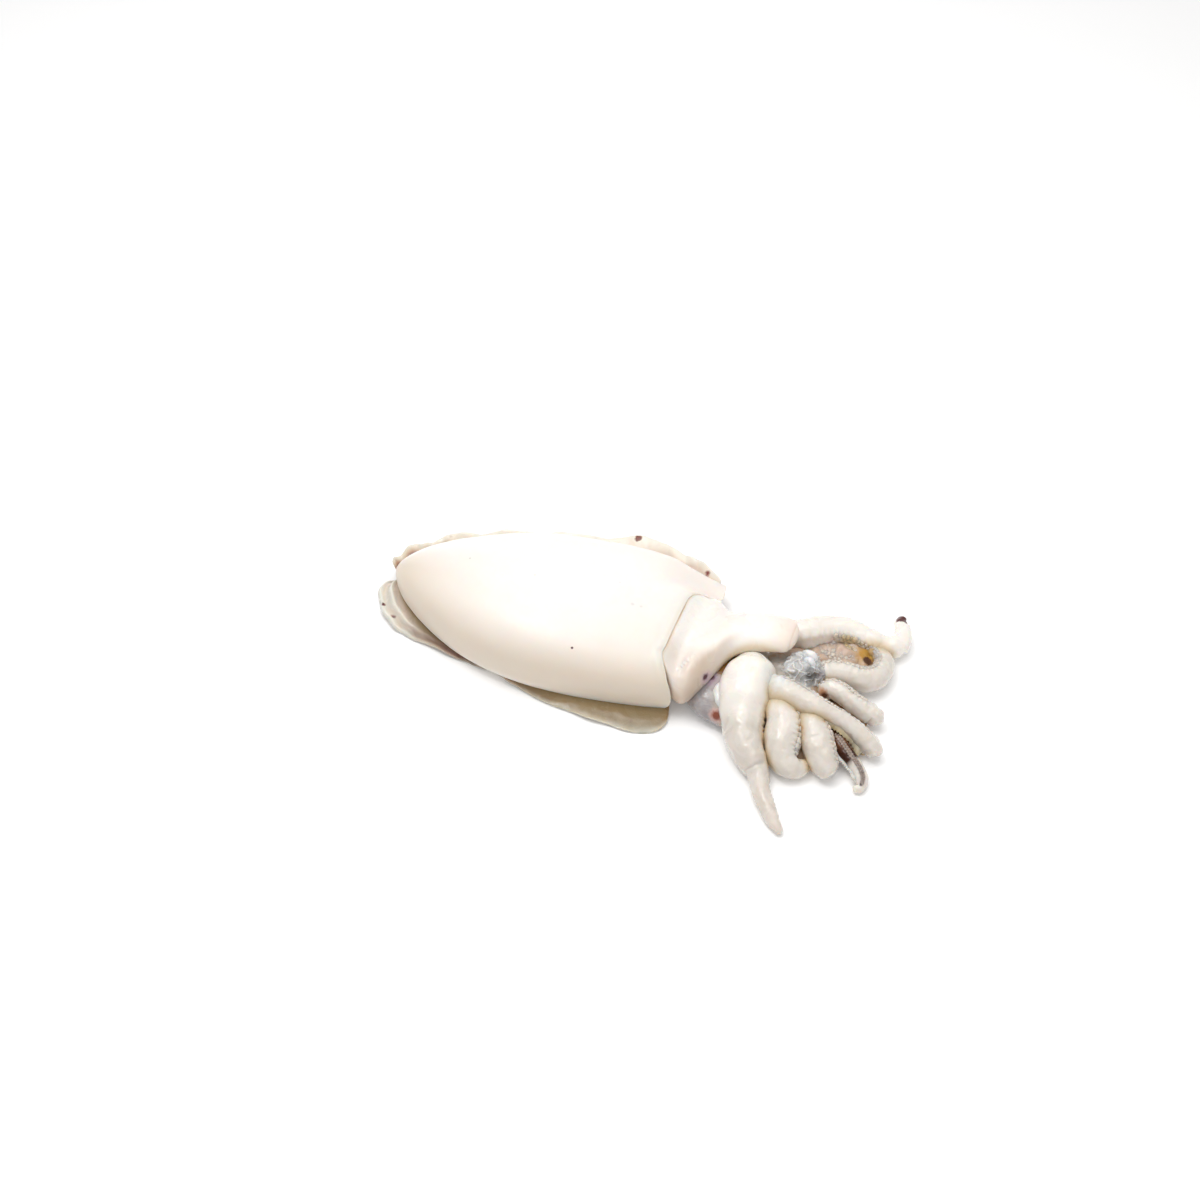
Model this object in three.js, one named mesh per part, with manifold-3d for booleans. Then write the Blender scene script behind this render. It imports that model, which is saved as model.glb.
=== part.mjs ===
// A cleaned cuttlefish lying belly up: the mantle with its two fins, and the head with
// funnel and eight arms, tucked into the mouth of the mantle.
// Millimetres, +Z up. It rests on Z = 0, +X runs from tail to arms, and -Y is the near side.
import * as THREE from 'three';
import { mergeVertices } from 'three/addons/utils/BufferGeometryUtils.js';
import Module from 'manifold-3d';

const wasm = await Module();
wasm.setup();

// The mantle, a flattened bag. A side's widest place is a share of the length from the tail.
// At the front its far shoulder droops, down to where the flap lies on the funnel.
const MANTLE = {
  tailX: -149,
  cornerX: 40.5,
  slantX: 1.5,
  cornerRound: 2.5,
  cornerSharpness: 6,
  axisY: 11.5,
  sideZ: 13,
  underside: 9,
  height: 42,
  crestAt: 0.6,
  crestFullness: 0.5,
  frontHeight: 37,
  near: { halfWidth: 51, widestAt: 0.58, frontHalfWidth: 40, fullness: 0.7 },
  far: { halfWidth: 60, widestAt: 0.8, frontHalfWidth: 55, fullness: 0.72 },
  squareness: 0.76,
  droop: { share: 0.95, fromLength: 0.8, fromOut: 0.38, toOut: 0.8 },
  around: 48,
  along: 30,
};

// The mouth of the mantle: an edge notched above and set back below, a lip and a shallow pocket.
// Each step of the lip is how far it lies ahead of the edge and how far inside the outer skin.
const MOUTH = {
  notch: { depth: 13.5, nearEdge: -35, nearFull: -11, farFull: 30, farEdge: 53 },
  setBack: 9,
  setBackFrom: 0.35,
  lip: [[0.8, 1.2], [-0.6, 2.8], [-6, 4.5]],
  floorX: 13,
  floorInset: 9,
};

// The fins, thin frills along both lower edges. Widths are given at even steps from tail to front,
// and where one is below 0 the fin's edge stays under the mantle. They end at a share of its length.
const FIN = {
  rootZ: 3.2,
  rootInset: 8,
  rootThick: 3,
  edgeThick: 1.4,
  tailRound: 0.1,
  frontRound: 0.06,
  endsAt: 0.98,
  slopeStep: 0.02,
  steps: 44,
  across: 4,
};
const FINS = {
  near: {
    side: -1,
    widths: [11, 12, 14, 13, 6.5, 1, -2.8, 1.5, 6.7, 12, 16],
    ripple: 2.2,
    ripples: 5,
    lift: 0,
  },
  far: {
    side: 1,
    widths: [7, 9.5, 11.5, 12.3, 13.5, 11.5, 12, 10.8, 16.2, 13, 3],
    ripple: 3.5,
    ripples: 6.4,
    lift: 11,
  },
};

// The funnel, a flattened tongue on a wide collar. Each station is x, y, z, half width, half height.
const FUNNEL = {
  stations: [
    [8, 11, 17, 34, 15],
    [26, 11.5, 17, 37, 15.7],
    [38, 10.5, 17, 37.5, 16.5],
    [46, 10, 18.5, 32, 16],
    [53, 15, 22, 22.5, 13.5],
    [60, 22, 26, 15.5, 9.8],
    [68, 24.5, 28, 14.3, 8],
    [78, 26.5, 28.5, 13.2, 7],
    [87, 28, 28.5, 12, 6],
    [94, 28.3, 28, 11.5, 5],
  ],
  blunt: 0.85,
  sides: 20,
  rings: 22,
};

// The rounded lumps of the head: its middle, the arms' roots, the mass round the beak, and the webs.
const LUMPS = {
  middle: { centre: [67, 1, 8], halfSize: [34, 31, 12], turn: -0.35, sides: 18, rings: 12 },
  roots: { centre: [95, 12, 8], halfSize: [24, 25, 11], turn: 0, sides: 12, rings: 8 },
  beak: { centre: [99, 19, 15], halfSize: [14, 12, 12], turn: 0, sides: 12, rings: 8 },
  frontWeb: { centre: [117, -8, 4], halfSize: [28, 29, 6], turn: 0, sides: 12, rings: 8 },
  farWeb: { centre: [115, 42, 4], halfSize: [24, 15, 7.5], turn: 0.2, sides: 12, rings: 8 },
};

// The arms, root first. Each station is x, y and z on the centre line, and the radius there.
const ARMS = {
  near: [
    [75.5, 17, 13, 14],
    [75.5, 2, 16.5, 15.5],
    [77, -11.5, 15.5, 14.2],
    [79, -22, 13, 11.6],
    [82, -33, 11, 10.6],
    [86, -42, 9.5, 9.8],
    [91, -48, 8, 8.6],
    [95, -52, 6.5, 6.8],
    [98, -57, 5.5, 5.7],
    [103, -67, 5, 5.2],
    [111, -78, 4, 4.2],
    [119, -86, 2.5, 2],
  ],
  frontInner: [
    [93, 1, 13, 8],
    [97, -13.5, 16, 8.5],
    [101, -22, 14.5, 9.3],
    [103, -31, 12, 9.9],
    [105, -38.5, 10, 9.2],
    [109, -43.5, 8, 7.8],
    [114.5, -44, 6, 6.2],
    [118, -40.5, 5, 4.6],
    [118.5, -36.5, 4.5, 3.4],
  ],
  frontOuter: [
    [109, -4.5, 13, 7],
    [115.5, -16.5, 14.5, 8.2],
    [120.5, -24, 12.5, 9.2],
    [125, -31.5, 10.2, 9.2],
    [129, -37, 8.3, 8],
    [132.5, -40, 6.6, 6.4],
    [135, -41.5, 5.2, 4.6],
  ],
  over: [
    [82, 3, 13, 7],
    [92.5, -2, 19.3, 7.8],
    [105.5, -6.5, 21.5, 7.5],
    [116, -10.3, 21.8, 6.2],
    [125.5, -11, 20, 5],
    [135, -12, 17, 5],
    [144.5, -14.3, 12, 5.6],
    [151, -17, 7.5, 5.8],
    [153, -21, 5, 4.5],
  ],
  under: [
    [125, -13, 9, 4.6],
    [134, -21.5, 8, 4.8],
    [141, -27.5, 6.5, 4.5],
    [147, -32, 5, 4],
    [151, -37, 3.8, 3.4],
    [151.5, -42, 3, 2.6],
    [148, -44.5, 2.8, 2],
  ],
  middle: [
    [113, 7.5, 8, 5],
    [119, 10, 14.5, 5.8],
    [126, 9, 15, 6],
    [133.5, 6.5, 13, 6],
    [140.5, 5.5, 10, 6.2],
    [146.5, 4.5, 7.5, 6],
    [149.5, 0.5, 5.5, 4.5],
  ],
  curl: [
    [108, 18.5, 12, 7],
    [116.5, 24.5, 12, 7],
    [125.5, 26.5, 11, 7.2],
    [135, 27.5, 9.5, 7.5],
    [141.5, 34, 8, 7],
    [142.5, 44.5, 7.5, 6],
    [137.5, 51, 8, 5],
    [131, 52, 9, 4],
  ],
  far: [
    [83, 43, 14, 9],
    [93.5, 45, 14, 9],
    [102, 51, 13.5, 8.8],
    [111.5, 56, 12.5, 8.5],
    [121.5, 58, 11, 8],
    [132, 57, 9, 7.2],
    [142, 57, 7.5, 6.8],
    [148, 64, 6.5, 6],
    [147, 74, 5.5, 4.8],
    [144, 80, 5, 3.6],
    [144.5, 85, 4.5, 2.6],
  ],
};
const ARM_SIDES = 12;
const ARM_RINGS = 22;

// How far towards the middle of a bend the flesh may reach, and the step that a bend is measured over.
const BEND = { limit: 0.8, step: 0.04 };

// The gap that the head keeps to the wall of the pocket it sits in.
const CLEARANCE = 0.5;

const FLESH = new THREE.MeshStandardMaterial({ color: 0xf1e9dc, roughness: 0.35, metalness: 0 });
const HEAD_FLESH = new THREE.MeshStandardMaterial({ color: 0xe9e0d2, roughness: 0.3, metalness: 0 });

const MERGE_DISTANCE = 1e-3;

const clamp = (value) => Math.min(1, Math.max(0, value));
const smooth = (value) => clamp(value) ** 2 * (3 - 2 * clamp(value));
const signedPower = (value, power) => Math.sign(value) * Math.abs(value) ** power;
const lying = (z) => Math.max(0, z);

// Rises from 0 to 1 as share goes from 0 to 1, blunt at the start and level at the end.
const swell = (share, power = 0.5) => (1 - (1 - clamp(share)) ** 2) ** power;

// The value at a share of the way along evenly spaced values, on a smooth curve.
function along(values, share) {
  const curve = new THREE.SplineCurve(values.map((value, i) => new THREE.Vector2(i, value)));
  return curve.getPoint(clamp(share)).y;
}

// A three.js geometry as a solid, turned outside out if its faces point inwards.
function solidOf(geometry) {
  geometry.deleteAttribute('normal');
  geometry.deleteAttribute('uv');
  const merged = mergeVertices(geometry, MERGE_DISTANCE);
  const triVerts = new Uint32Array(merged.index.array);
  const mesh = { numProp: 3, vertProperties: merged.attributes.position.array, triVerts };
  const solid = new wasm.Manifold(new wasm.Mesh(mesh));
  if (solid.volume() > 0) return solid;
  for (let i = 0; i < triVerts.length; i += 3) {
    [triVerts[i + 1], triVerts[i + 2]] = [triVerts[i + 2], triVerts[i + 1]];
  }
  return new wasm.Manifold(new wasm.Mesh(mesh));
}

function meshOf(name, solid, material) {
  const { vertProperties, triVerts } = solid.getMesh();
  const geometry = new THREE.BufferGeometry();
  geometry.setAttribute('position', new THREE.BufferAttribute(vertProperties, 3));
  geometry.setIndex(new THREE.BufferAttribute(triVerts, 1));
  geometry.computeVertexNormals();
  const mesh = new THREE.Mesh(geometry, material);
  mesh.name = name;
  return mesh;
}

// A closed surface with a pole at each end: place(turn, share) gives a point at a share of the
// way from pole to pole and a turn round it.
function closedSurface(sides, rings, place) {
  const geometry = new THREE.SphereGeometry(1, sides, rings);
  const { position, uv } = geometry.attributes;
  for (let i = 0; i < position.count; i++) {
    const [x, y, z] = place(uv.getX(i) * 2 * Math.PI, 1 - uv.getY(i));
    position.setXYZ(i, x, y, z);
  }
  return solidOf(geometry);
}

// Half the mantle's width on one side, at a share of its length from the tail.
function halfWidth(side, share) {
  if (share < side.widestAt) return side.halfWidth * swell(share / side.widestAt, side.fullness);
  const past = (share - side.widestAt) / (1 - side.widestAt);
  return side.halfWidth + (side.frontHalfWidth - side.halfWidth) * past ** 2;
}

// Y and Z on the mantle's cross-section at a share of its length, swollen by grow.
function mantleSection(share, turn, grow) {
  const { axisY, sideZ, underside, height, crestAt, crestFullness, frontHeight, droop } = MANTLE;
  const out = signedPower(Math.cos(turn), MANTLE.squareness);
  const up = signedPower(Math.sin(turn), MANTLE.squareness);
  const rise = swell(share / crestAt, crestFullness);
  const sink = smooth((share - crestAt) / (1 - crestAt));
  const drooping = smooth((share - droop.fromLength) / (1 - droop.fromLength))
    * smooth((out - droop.fromOut) / (droop.toOut - droop.fromOut));
  const crown = ((height - sideZ) * rise - (height - frontHeight) * sink) * (1 - droop.share * drooping);
  const keel = (sideZ + underside) * rise;
  const y = axisY + out * (halfWidth(out > 0 ? MANTLE.far : MANTLE.near, share) + grow);
  const z = sideZ + up * ((up > 0 ? crown : keel) + grow);
  return [y, Math.max(-grow, z)];
}

// X of the mantle's front edge at a place round it: notched above for the funnel, set back below.
function frontX(turn) {
  const { cornerX, slantX, cornerRound, cornerSharpness } = MANTLE;
  const { notch, setBack, setBackFrom } = MOUTH;
  const [y] = mantleSection(1, turn, 0);
  const out = Math.cos(turn);
  const up = Math.sin(turn);
  const inNotch = smooth((y - notch.nearEdge) / (notch.nearFull - notch.nearEdge))
    * smooth((notch.farEdge - y) / (notch.farEdge - notch.farFull));
  const corner = cornerX + slantX * out - cornerRound * Math.abs(out) ** cornerSharpness;
  const below = smooth((-up - setBackFrom) / (1 - setBackFrom));
  return corner - notch.depth * inNotch * smooth(2 * up) - setBack * below;
}

// The mantle's bag: the outside from the tail to its front edge, then the lip and the pocket.
function mantleBag(grow) {
  const { tailX, axisY, frontHeight, along: rings, around } = MANTLE;
  const { lip, floorX, floorInset } = MOUTH;
  const middleZ = frontHeight / 2;
  const floorRing = rings + lip.length + 1;
  const allRings = floorRing + 1;
  return closedSurface(around, allRings, (turn, share) => {
    const ring = Math.round(share * allRings);
    const front = frontX(turn);
    if (ring <= rings) {
      const reach = 1 - Math.cos((ring / rings) * Math.PI / 2);
      const [y, z] = mantleSection(reach, turn, ring > 0 ? grow : 0);
      return [tailX - grow + (front - tailX + 2 * grow) * reach, y, z];
    }
    if (ring === allRings) return [floorX + grow, axisY, middleZ];
    const [ahead, inset] = ring === floorRing ? [floorX - front, floorInset] : lip[ring - rings - 1];
    const [y, z] = mantleSection(1, turn, 0);
    const side = y > axisY ? MANTLE.far : MANTLE.near;
    const narrow = 1 - (inset + grow) / side.frontHalfWidth;
    const low = 1 - (inset + grow) / middleZ;
    return [front + ahead + grow, axisY + (y - axisY) * narrow, middleZ + (z - middleZ) * low];
  });
}

// A fin: a thin frill along one lower edge of the mantle, wavy towards its free edge.
function fin({ side, widths, ripple, ripples, lift }, grow = 0) {
  const { rootZ, rootInset, rootThick, edgeThick, tailRound, frontRound, endsAt, slopeStep } = FIN;
  const { tailX, cornerX, axisY } = MANTLE;
  const flank = side < 0 ? MANTLE.near : MANTLE.far;
  const length = cornerX - tailX;
  const geometry = new THREE.BoxGeometry(1, 1, 1, FIN.steps, FIN.across, 1);
  const { position } = geometry.attributes;
  for (let i = 0; i < position.count; i++) {
    const share = position.getX(i) + 0.5;
    const out = position.getY(i) + 0.5;
    const face = position.getZ(i) * 2;
    const reach = endsAt * (1 - Math.cos(share * Math.PI / 2));
    const flare = halfWidth(flank, reach + slopeStep) - halfWidth(flank, reach);
    const slant = Math.atan2(flare, slopeStep * length);
    const width = along(widths, share) * swell(share / tailRound) * swell((1 - share) / frontRound);
    const offset = out * (rootInset + width + grow) - rootInset;
    const wave = ripple * (1 + Math.sin(share * ripples * 2 * Math.PI)) / 2;
    const thick = rootThick + (edgeThick - rootThick) * out + 2 * grow;
    const middleZ = rootZ + (edgeThick / 2 + wave + lift - rootZ) * out;
    const x = tailX + length * reach - Math.sin(slant) * offset;
    const y = axisY + side * (halfWidth(flank, reach) + Math.cos(slant) * offset);
    position.setXYZ(i, x, y, lying(middleZ + face * thick / 2));
  }
  return solidOf(geometry);
}

// Smooth curves through stations: the centre line, and half the width and the height along it.
function curvesOf(stations) {
  const curveOf = (pick) => new THREE.CatmullRomCurve3(stations.map(pick), false, 'catmullrom');
  const centre = curveOf(([x, y, z]) => new THREE.Vector3(x, y, z));
  const size = curveOf(([, , , wide, high = wide]) => new THREE.Vector3(wide, high, 0));
  return { centre, size, length: centre.getLength() };
}

// The funnel: sections square to X, rounded off at both ends over blunt times half their width.
function funnel({ stations, blunt, sides, rings }) {
  const { centre, size, length } = curvesOf(stations);
  return closedSurface(sides, rings, (turn, share) => {
    const at = (1 - Math.cos(share * Math.PI)) / 2;
    const { x, y, z } = centre.getPoint(at);
    const { x: wide, y: high } = size.getPoint(at);
    const cap = swell(length * Math.min(at, 1 - at) / (blunt * wide));
    return [x, y + wide * cap * Math.cos(turn), lying(z + high * cap * Math.sin(turn))];
  });
}

// A limb along a smooth curve through its stations, round at both ends and flat where it lies.
// On the inside of a tight bend the flesh is pressed flat, so that it doesn't pass through itself.
function limb(stations, sides, rings) {
  const { centre, size, length } = curvesOf(stations);
  const upright = new THREE.Vector3(0, 0, 1);
  return closedSurface(sides, rings, (turn, share) => {
    const at = (1 - Math.cos(share * Math.PI)) / 2;
    const point = centre.getPoint(at);
    const tangent = centre.getTangent(at);
    const across = new THREE.Vector3().crossVectors(tangent, upright).normalize();
    const over = new THREE.Vector3().crossVectors(across, tangent);
    const { x: wide, y: high } = size.getPoint(at);
    const cap = swell(length * Math.min(at, 1 - at) / wide);
    const offset = new THREE.Vector3();
    offset.addScaledVector(across, wide * cap * Math.cos(turn));
    offset.addScaledVector(over, high * cap * Math.sin(turn));
    const bend = bendOf(centre, at);
    const pressed = Math.max(0, offset.dot(bend) - BEND.limit) / bend.lengthSq();
    if (pressed > 0) offset.addScaledVector(bend, -pressed);
    point.add(offset);
    return [point.x, point.y, lying(point.z)];
  });
}

// How sharply a curve bends at a place on it: a vector to the inside, one over the bend's radius long.
function bendOf(curve, at) {
  const from = Math.max(0, at - BEND.step);
  const to = Math.min(1, at + BEND.step);
  const run = curve.getPoint(to).distanceTo(curve.getPoint(from));
  return curve.getTangent(to).sub(curve.getTangent(from)).divideScalar(run);
}

// A rounded lump, turned about the vertical and flat where it lies.
function lump({ centre, halfSize, turn: heading, sides, rings }) {
  const [cx, cy, cz] = centre;
  const [a, b, c] = halfSize;
  return closedSurface(sides, rings, (turn, share) => {
    const girth = Math.sin(share * Math.PI);
    const x = a * girth * Math.cos(turn);
    const y = b * girth * Math.sin(turn);
    const z = cz + c * Math.cos(share * Math.PI);
    const ahead = x * Math.cos(heading) - y * Math.sin(heading);
    const aside = x * Math.sin(heading) + y * Math.cos(heading);
    return [cx + ahead, cy + aside, lying(z)];
  });
}

const fins = Object.values(FINS);
const mantle = fins.reduce((body, shape) => body.add(fin(shape)), mantleBag(0));

const flesh = [
  funnel(FUNNEL),
  ...Object.values(LUMPS).map(lump),
  ...Object.values(ARMS).map((stations) => limb(stations, ARM_SIDES, ARM_RINGS)),
];
const keepOut = fins.reduce((body, shape) => body.add(fin(shape, CLEARANCE)), mantleBag(CLEARANCE));
const head = flesh.reduce((body, piece) => body.add(piece)).subtract(keepOut);

const cuttlefish = new THREE.Group();
cuttlefish.add(meshOf('mantle', mantle, FLESH), meshOf('head', head, HEAD_FLESH));

export default cuttlefish;
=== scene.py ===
import math
import bpy
import numpy as np
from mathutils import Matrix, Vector


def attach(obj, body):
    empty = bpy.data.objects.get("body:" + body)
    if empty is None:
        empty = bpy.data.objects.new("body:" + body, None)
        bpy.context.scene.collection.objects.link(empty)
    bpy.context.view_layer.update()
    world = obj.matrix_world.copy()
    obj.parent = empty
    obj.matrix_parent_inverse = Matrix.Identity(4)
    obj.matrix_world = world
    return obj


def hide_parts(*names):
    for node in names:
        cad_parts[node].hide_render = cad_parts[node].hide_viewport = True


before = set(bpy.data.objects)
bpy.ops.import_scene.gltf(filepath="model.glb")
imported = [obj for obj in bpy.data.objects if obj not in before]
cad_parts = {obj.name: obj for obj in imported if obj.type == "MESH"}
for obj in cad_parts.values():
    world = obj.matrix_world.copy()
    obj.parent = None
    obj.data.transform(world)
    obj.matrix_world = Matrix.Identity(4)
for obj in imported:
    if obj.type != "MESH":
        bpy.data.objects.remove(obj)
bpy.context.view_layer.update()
mm = 0.001  # the shapes are worked out in millimetres, and become metres in the mesh
body = "root"
fullTurn = 2.0 * math.pi
tiny = 1e-9  # keeps divisors off nought and places off a curve's end
print("frame loaded:", ", ".join(sorted(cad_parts)))


# Shape maths

# 3t^2 - 2t^3, with t held between 0 and 1
def smooth(t):
    t = np.clip(t, 0.0, 1.0)
    return t * t * (3.0 - 2.0 * t)


# 0 at the start value, 1 at the end value and smooth between them
def ramp(value, start, end):
    return smooth((value - start) / (end - start))


# 0 at the sides of a section and below them, 1 from half way up
def onTop(up):
    return smooth(2.0 * up)


# (1 - (1 - t)^2)^power: blunt at 0, level at 1
def swell(t, power=0.5):
    t = np.clip(t, 0.0, 1.0)
    return (1.0 - (1.0 - t) ** 2) ** power


# |value|^power with the sign kept
def signedPower(value, power):
    return np.sign(value) * np.abs(value) ** power


# a bell of height 1: exp(-(value / width)^2)
def bell(value, width):
    return np.exp(-((value / width) ** 2))


# rows divided by their own length
def unit(rows):
    return rows / np.maximum(np.linalg.norm(rows, axis=-1, keepdims=True), tiny)


# the smaller angle between two directions, -pi to pi
def angleFrom(turn, middle):
    return (turn - middle + math.pi) % fullTurn - math.pi


# a uniform Catmull-Rom curve through the rows, at shares t of the way along
def throughPoints(rows, t):
    rows = np.asarray(rows, float)
    spans = len(rows) - 1
    padded = np.concatenate([[2 * rows[0] - rows[1]], rows, [2 * rows[-1] - rows[-2]]])
    place = np.clip(np.asarray(t, float) * spans, 0.0, spans - tiny)
    i = place.astype(int)
    f = place - i
    f = f.reshape(f.shape + (1,) * (rows.ndim - 1))
    a, b, c, d = padded[i], padded[i + 1], padded[i + 2], padded[i + 3]
    return b + 0.5 * f * (c - a + f * (2 * a - 5 * b + 4 * c - d + f * (3 * (b - c) + d - a)))


waveLengths = (0.7, 1.5)  # of a lump's waves, in shares of its size
# seeds of the random draws; pieces of one kind add the length of their own name
seeds = {
    "mantleBulge": 3, "mantleDimple": 4, "finWrinkle": 41, "funnelBulge": 11, "funnelDimple": 12,
    "lumpRough": 0, "lumpBillow": 30, "lumpWarp": 70, "lumpCrest": 77, "fold": 60,
    "arm": 20, "armKnob": 6, "armWrinkle": 7, "armPatch": 8, "suckers": 9,
}


# soft lumps: the sum of plane waves about one size long, in seeded random directions, about -1 to 1
def lumps(points, size, seed, count=20):
    draw = np.random.default_rng(seed)
    ways = unit(draw.normal(size=(count, 3)))
    ways *= (fullTurn / (size * draw.uniform(*waveLengths, count)))[:, None]
    return np.sin(points @ ways.T + draw.uniform(0, fullTurn, count)).sum(-1) / math.sqrt(count)


# even turns round a section, as one row
def turnsRound(sides):
    return np.linspace(0.0, fullTurn, sides, endpoint=False)[None]


# shares along a limb, closer together at both ends, as one column
def limbShares(rings):
    return (0.5 * (1.0 - np.cos(np.linspace(0.0, math.pi, rings + 2)[1:-1])))[:, None]


sheetFlatness = 2.5  # how soon the loop round a thin sheet is at its full thickness


# a flat loop round a thin sheet's section: how far out each point is, 0 to 1, and on which face, -1 to 1
def sheetLoop(around):
    loop = turnsRound(around)
    return 0.5 * (1.0 - np.cos(loop)), np.clip(sheetFlatness * np.sin(loop), -1.0, 1.0)


# Mesh helpers

# the quads between rings of points, and the triangles from the end rings to a first pole and a last one
def skinFaces(count, sides):
    index = 1 + np.arange(count * sides).reshape(count, sides)
    beside = np.roll(index, -1, axis=1)
    last = np.full(sides, 1 + count * sides)
    quads = np.stack([index[:-1], beside[:-1], beside[1:], index[1:]], -1).reshape(-1, 4)
    caps = np.concatenate([np.stack([0 * last, beside[0], index[0]], -1),
                           np.stack([last, index[-1], beside[-1]], -1)])
    return quads, caps


# a closed skin: rings of points from a first pole to a last one, by default the middles of the end rings,
# turned so that its faces point out
def skinMesh(name, rings, masks, poles=None):
    poles = rings[[0, -1]].mean(1) if poles is None else poles
    points = np.concatenate([[poles[0]], rings.reshape(-1, 3), [poles[1]]])
    quads, caps = skinFaces(*rings.shape[:2])
    a, b, c, d = (points[quads[:, k]] for k in range(4))
    if np.einsum("ij,ij->", np.cross(c - a, d - b), a + b + c + d) < 0.0:
        quads, caps = quads[:, ::-1], caps[:, ::-1]
    whole = {key: np.broadcast_to(value, rings.shape[:2]) for key, value in masks.items()}
    spread = {key: np.concatenate([[value[0].mean()], value.reshape(-1), [value[-1].mean()]])
              for key, value in whole.items()}
    return meshOf(name, points, quads.tolist() + caps.tolist(), spread)


# a smooth-shaded mesh of the points and faces, with each mask as a point attribute
def meshOf(name, points, faces, masks):
    mesh = bpy.data.meshes.new(name)
    mesh.from_pydata(points * mm, [], faces)
    for key, value in masks.items():
        layer = mesh.attributes.new(key, "FLOAT", "POINT")
        layer.data.foreach_set("value", np.ascontiguousarray(value, np.float32))
    mesh.polygons.foreach_set("use_smooth", np.ones(len(mesh.polygons), bool))
    mesh.update()
    return mesh


# the mesh as a piece that rides on the body and stands in for the node
def addPiece(mesh, material, node):
    piece = bpy.data.objects.new(mesh.name, mesh)
    bpy.context.scene.collection.objects.link(piece)
    mesh.materials.append(material)
    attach(piece, body)
    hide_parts(node)


# Node helpers

# a shader node with its settings, and its inputs set to values or linked to sockets
def put(tree, kind, inputs=None, **settings):
    made = tree.nodes.new("ShaderNode" + kind)
    for key, value in settings.items():
        setattr(made, key, value)
    for key, value in (inputs or {}).items():
        if isinstance(value, bpy.types.NodeSocket):
            tree.links.new(value, made.inputs[key])
        else:
            made.inputs[key].default_value = value
    return made


# a mix of two colours by a factor, each a socket or its red, green and blue
def mixColour(tree, factor, *colours):
    first, second = ((*colour, 1.0) if isinstance(colour, tuple) else colour for colour in colours)
    return put(tree, "Mix", {0: factor, 6: first, 7: second}, data_type="RGBA").outputs[2]


# one sum of arithmetic on one or two values
def sums(tree, operation, first, second=0.0, clamp=False):
    return put(tree, "Math", {0: first, 1: second}, operation=operation, use_clamp=clamp).outputs[0]


# the value carried from one range to another, held inside it
def ranged(tree, value, low, high, start=0.0, end=1.0):
    inputs = {"Value": value, "From Min": low, "From Max": high, "To Min": start, "To Max": end}
    return put(tree, "MapRange", inputs).outputs["Result"]


# an empty group with named inputs and outputs
def newGroup(name, inputs, outputs):
    group = bpy.data.node_groups.new(name, "ShaderNodeTree")
    for label, value in inputs.items():
        kind = "NodeSocketVector" if isinstance(value, tuple) else "NodeSocketFloat"
        group.interface.new_socket(label, in_out="INPUT", socket_type=kind).default_value = value
    for label in outputs:
        group.interface.new_socket(label, in_out="OUTPUT", socket_type="NodeSocketFloat")
    return group, group.nodes.new("NodeGroupInput").outputs, group.nodes.new("NodeGroupOutput").inputs


# the noise in the node groups, and how much each part of it does
patterns = {
    "mottle": {"Detail": 4.0, "Roughness": 0.6, "Distortion": 0.4}, "mottleRange": (0.3, 0.7),
    "grain": {"Detail": 3.0}, "mottleRelief": 0.6, "grainRelief": 0.25, "poreRelief": 0.15,
    "film": {"Scale": 90.0, "Detail": 2.0, "Distortion": 1.0}, "filmRange": (0.42, 0.7), "thinFilm": 0.5,
    "spotEdge": {"Scale": 500.0, "Detail": 2.0}, "spotLeast": 0.6, "spotCore": 0.4,
}


# moist flesh: a soft mottle, fine skin relief, and wetter and drier patches
def moistFleshGroup():
    p = patterns
    group, given, out = newGroup(
        "moistFlesh", {"Mottle Scale": 60.0, "Grain Scale": 900.0, "Wet": 0.2, "Dry": 0.4},
        ["Mottle", "Height", "Roughness", "Film"])
    place = put(group, "TexCoord").outputs["Object"]
    coarse, fine = ({"Vector": place, "Scale": given[key]} for key in ("Mottle Scale", "Grain Scale"))
    mottle = put(group, "TexNoise", {**coarse, **p["mottle"]}).outputs["Fac"]
    grain = put(group, "TexNoise", {**fine, **p["grain"]}).outputs["Fac"]
    pores = put(group, "TexVoronoi", fine).outputs["Distance"]
    film = put(group, "TexNoise", {"Vector": place, **p["film"]}).outputs["Fac"]
    raised, grained, pored = (sums(group, "MULTIPLY", value, p[key]) for value, key in (
        (mottle, "mottleRelief"), (grain, "grainRelief"), (pores, "poreRelief")))
    wetness = ranged(group, film, *p["filmRange"])
    group.links.new(ranged(group, mottle, *p["mottleRange"]), out["Mottle"])
    group.links.new(sums(group, "ADD", raised, sums(group, "ADD", grained, pored)), out["Height"])
    group.links.new(ranged(group, wetness, 0.0, 1.0, given["Dry"], given["Wet"]), out["Roughness"])
    group.links.new(wetness, out["Film"])
    return group


# pigment cells: small round specks in some of the cells of a Voronoi pattern
def pigmentCellsGroup():
    group, given, out = newGroup("pigmentCells", {"Scale": 120.0, "Share": 0.2, "Size": 0.2}, ["Specks"])
    place = put(group, "TexCoord").outputs["Object"]
    cells = put(group, "TexVoronoi", {"Vector": place, "Scale": given["Scale"]}).outputs
    pick = put(group, "SeparateColor", {"Color": cells["Color"]}).outputs[0]
    core = sums(group, "MULTIPLY", given["Size"], patterns["spotCore"])
    inside = ranged(group, cells["Distance"], given["Size"], core)
    chosen = sums(group, "LESS_THAN", pick, given["Share"])
    group.links.new(sums(group, "MULTIPLY", chosen, inside), out["Specks"])
    return group


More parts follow.
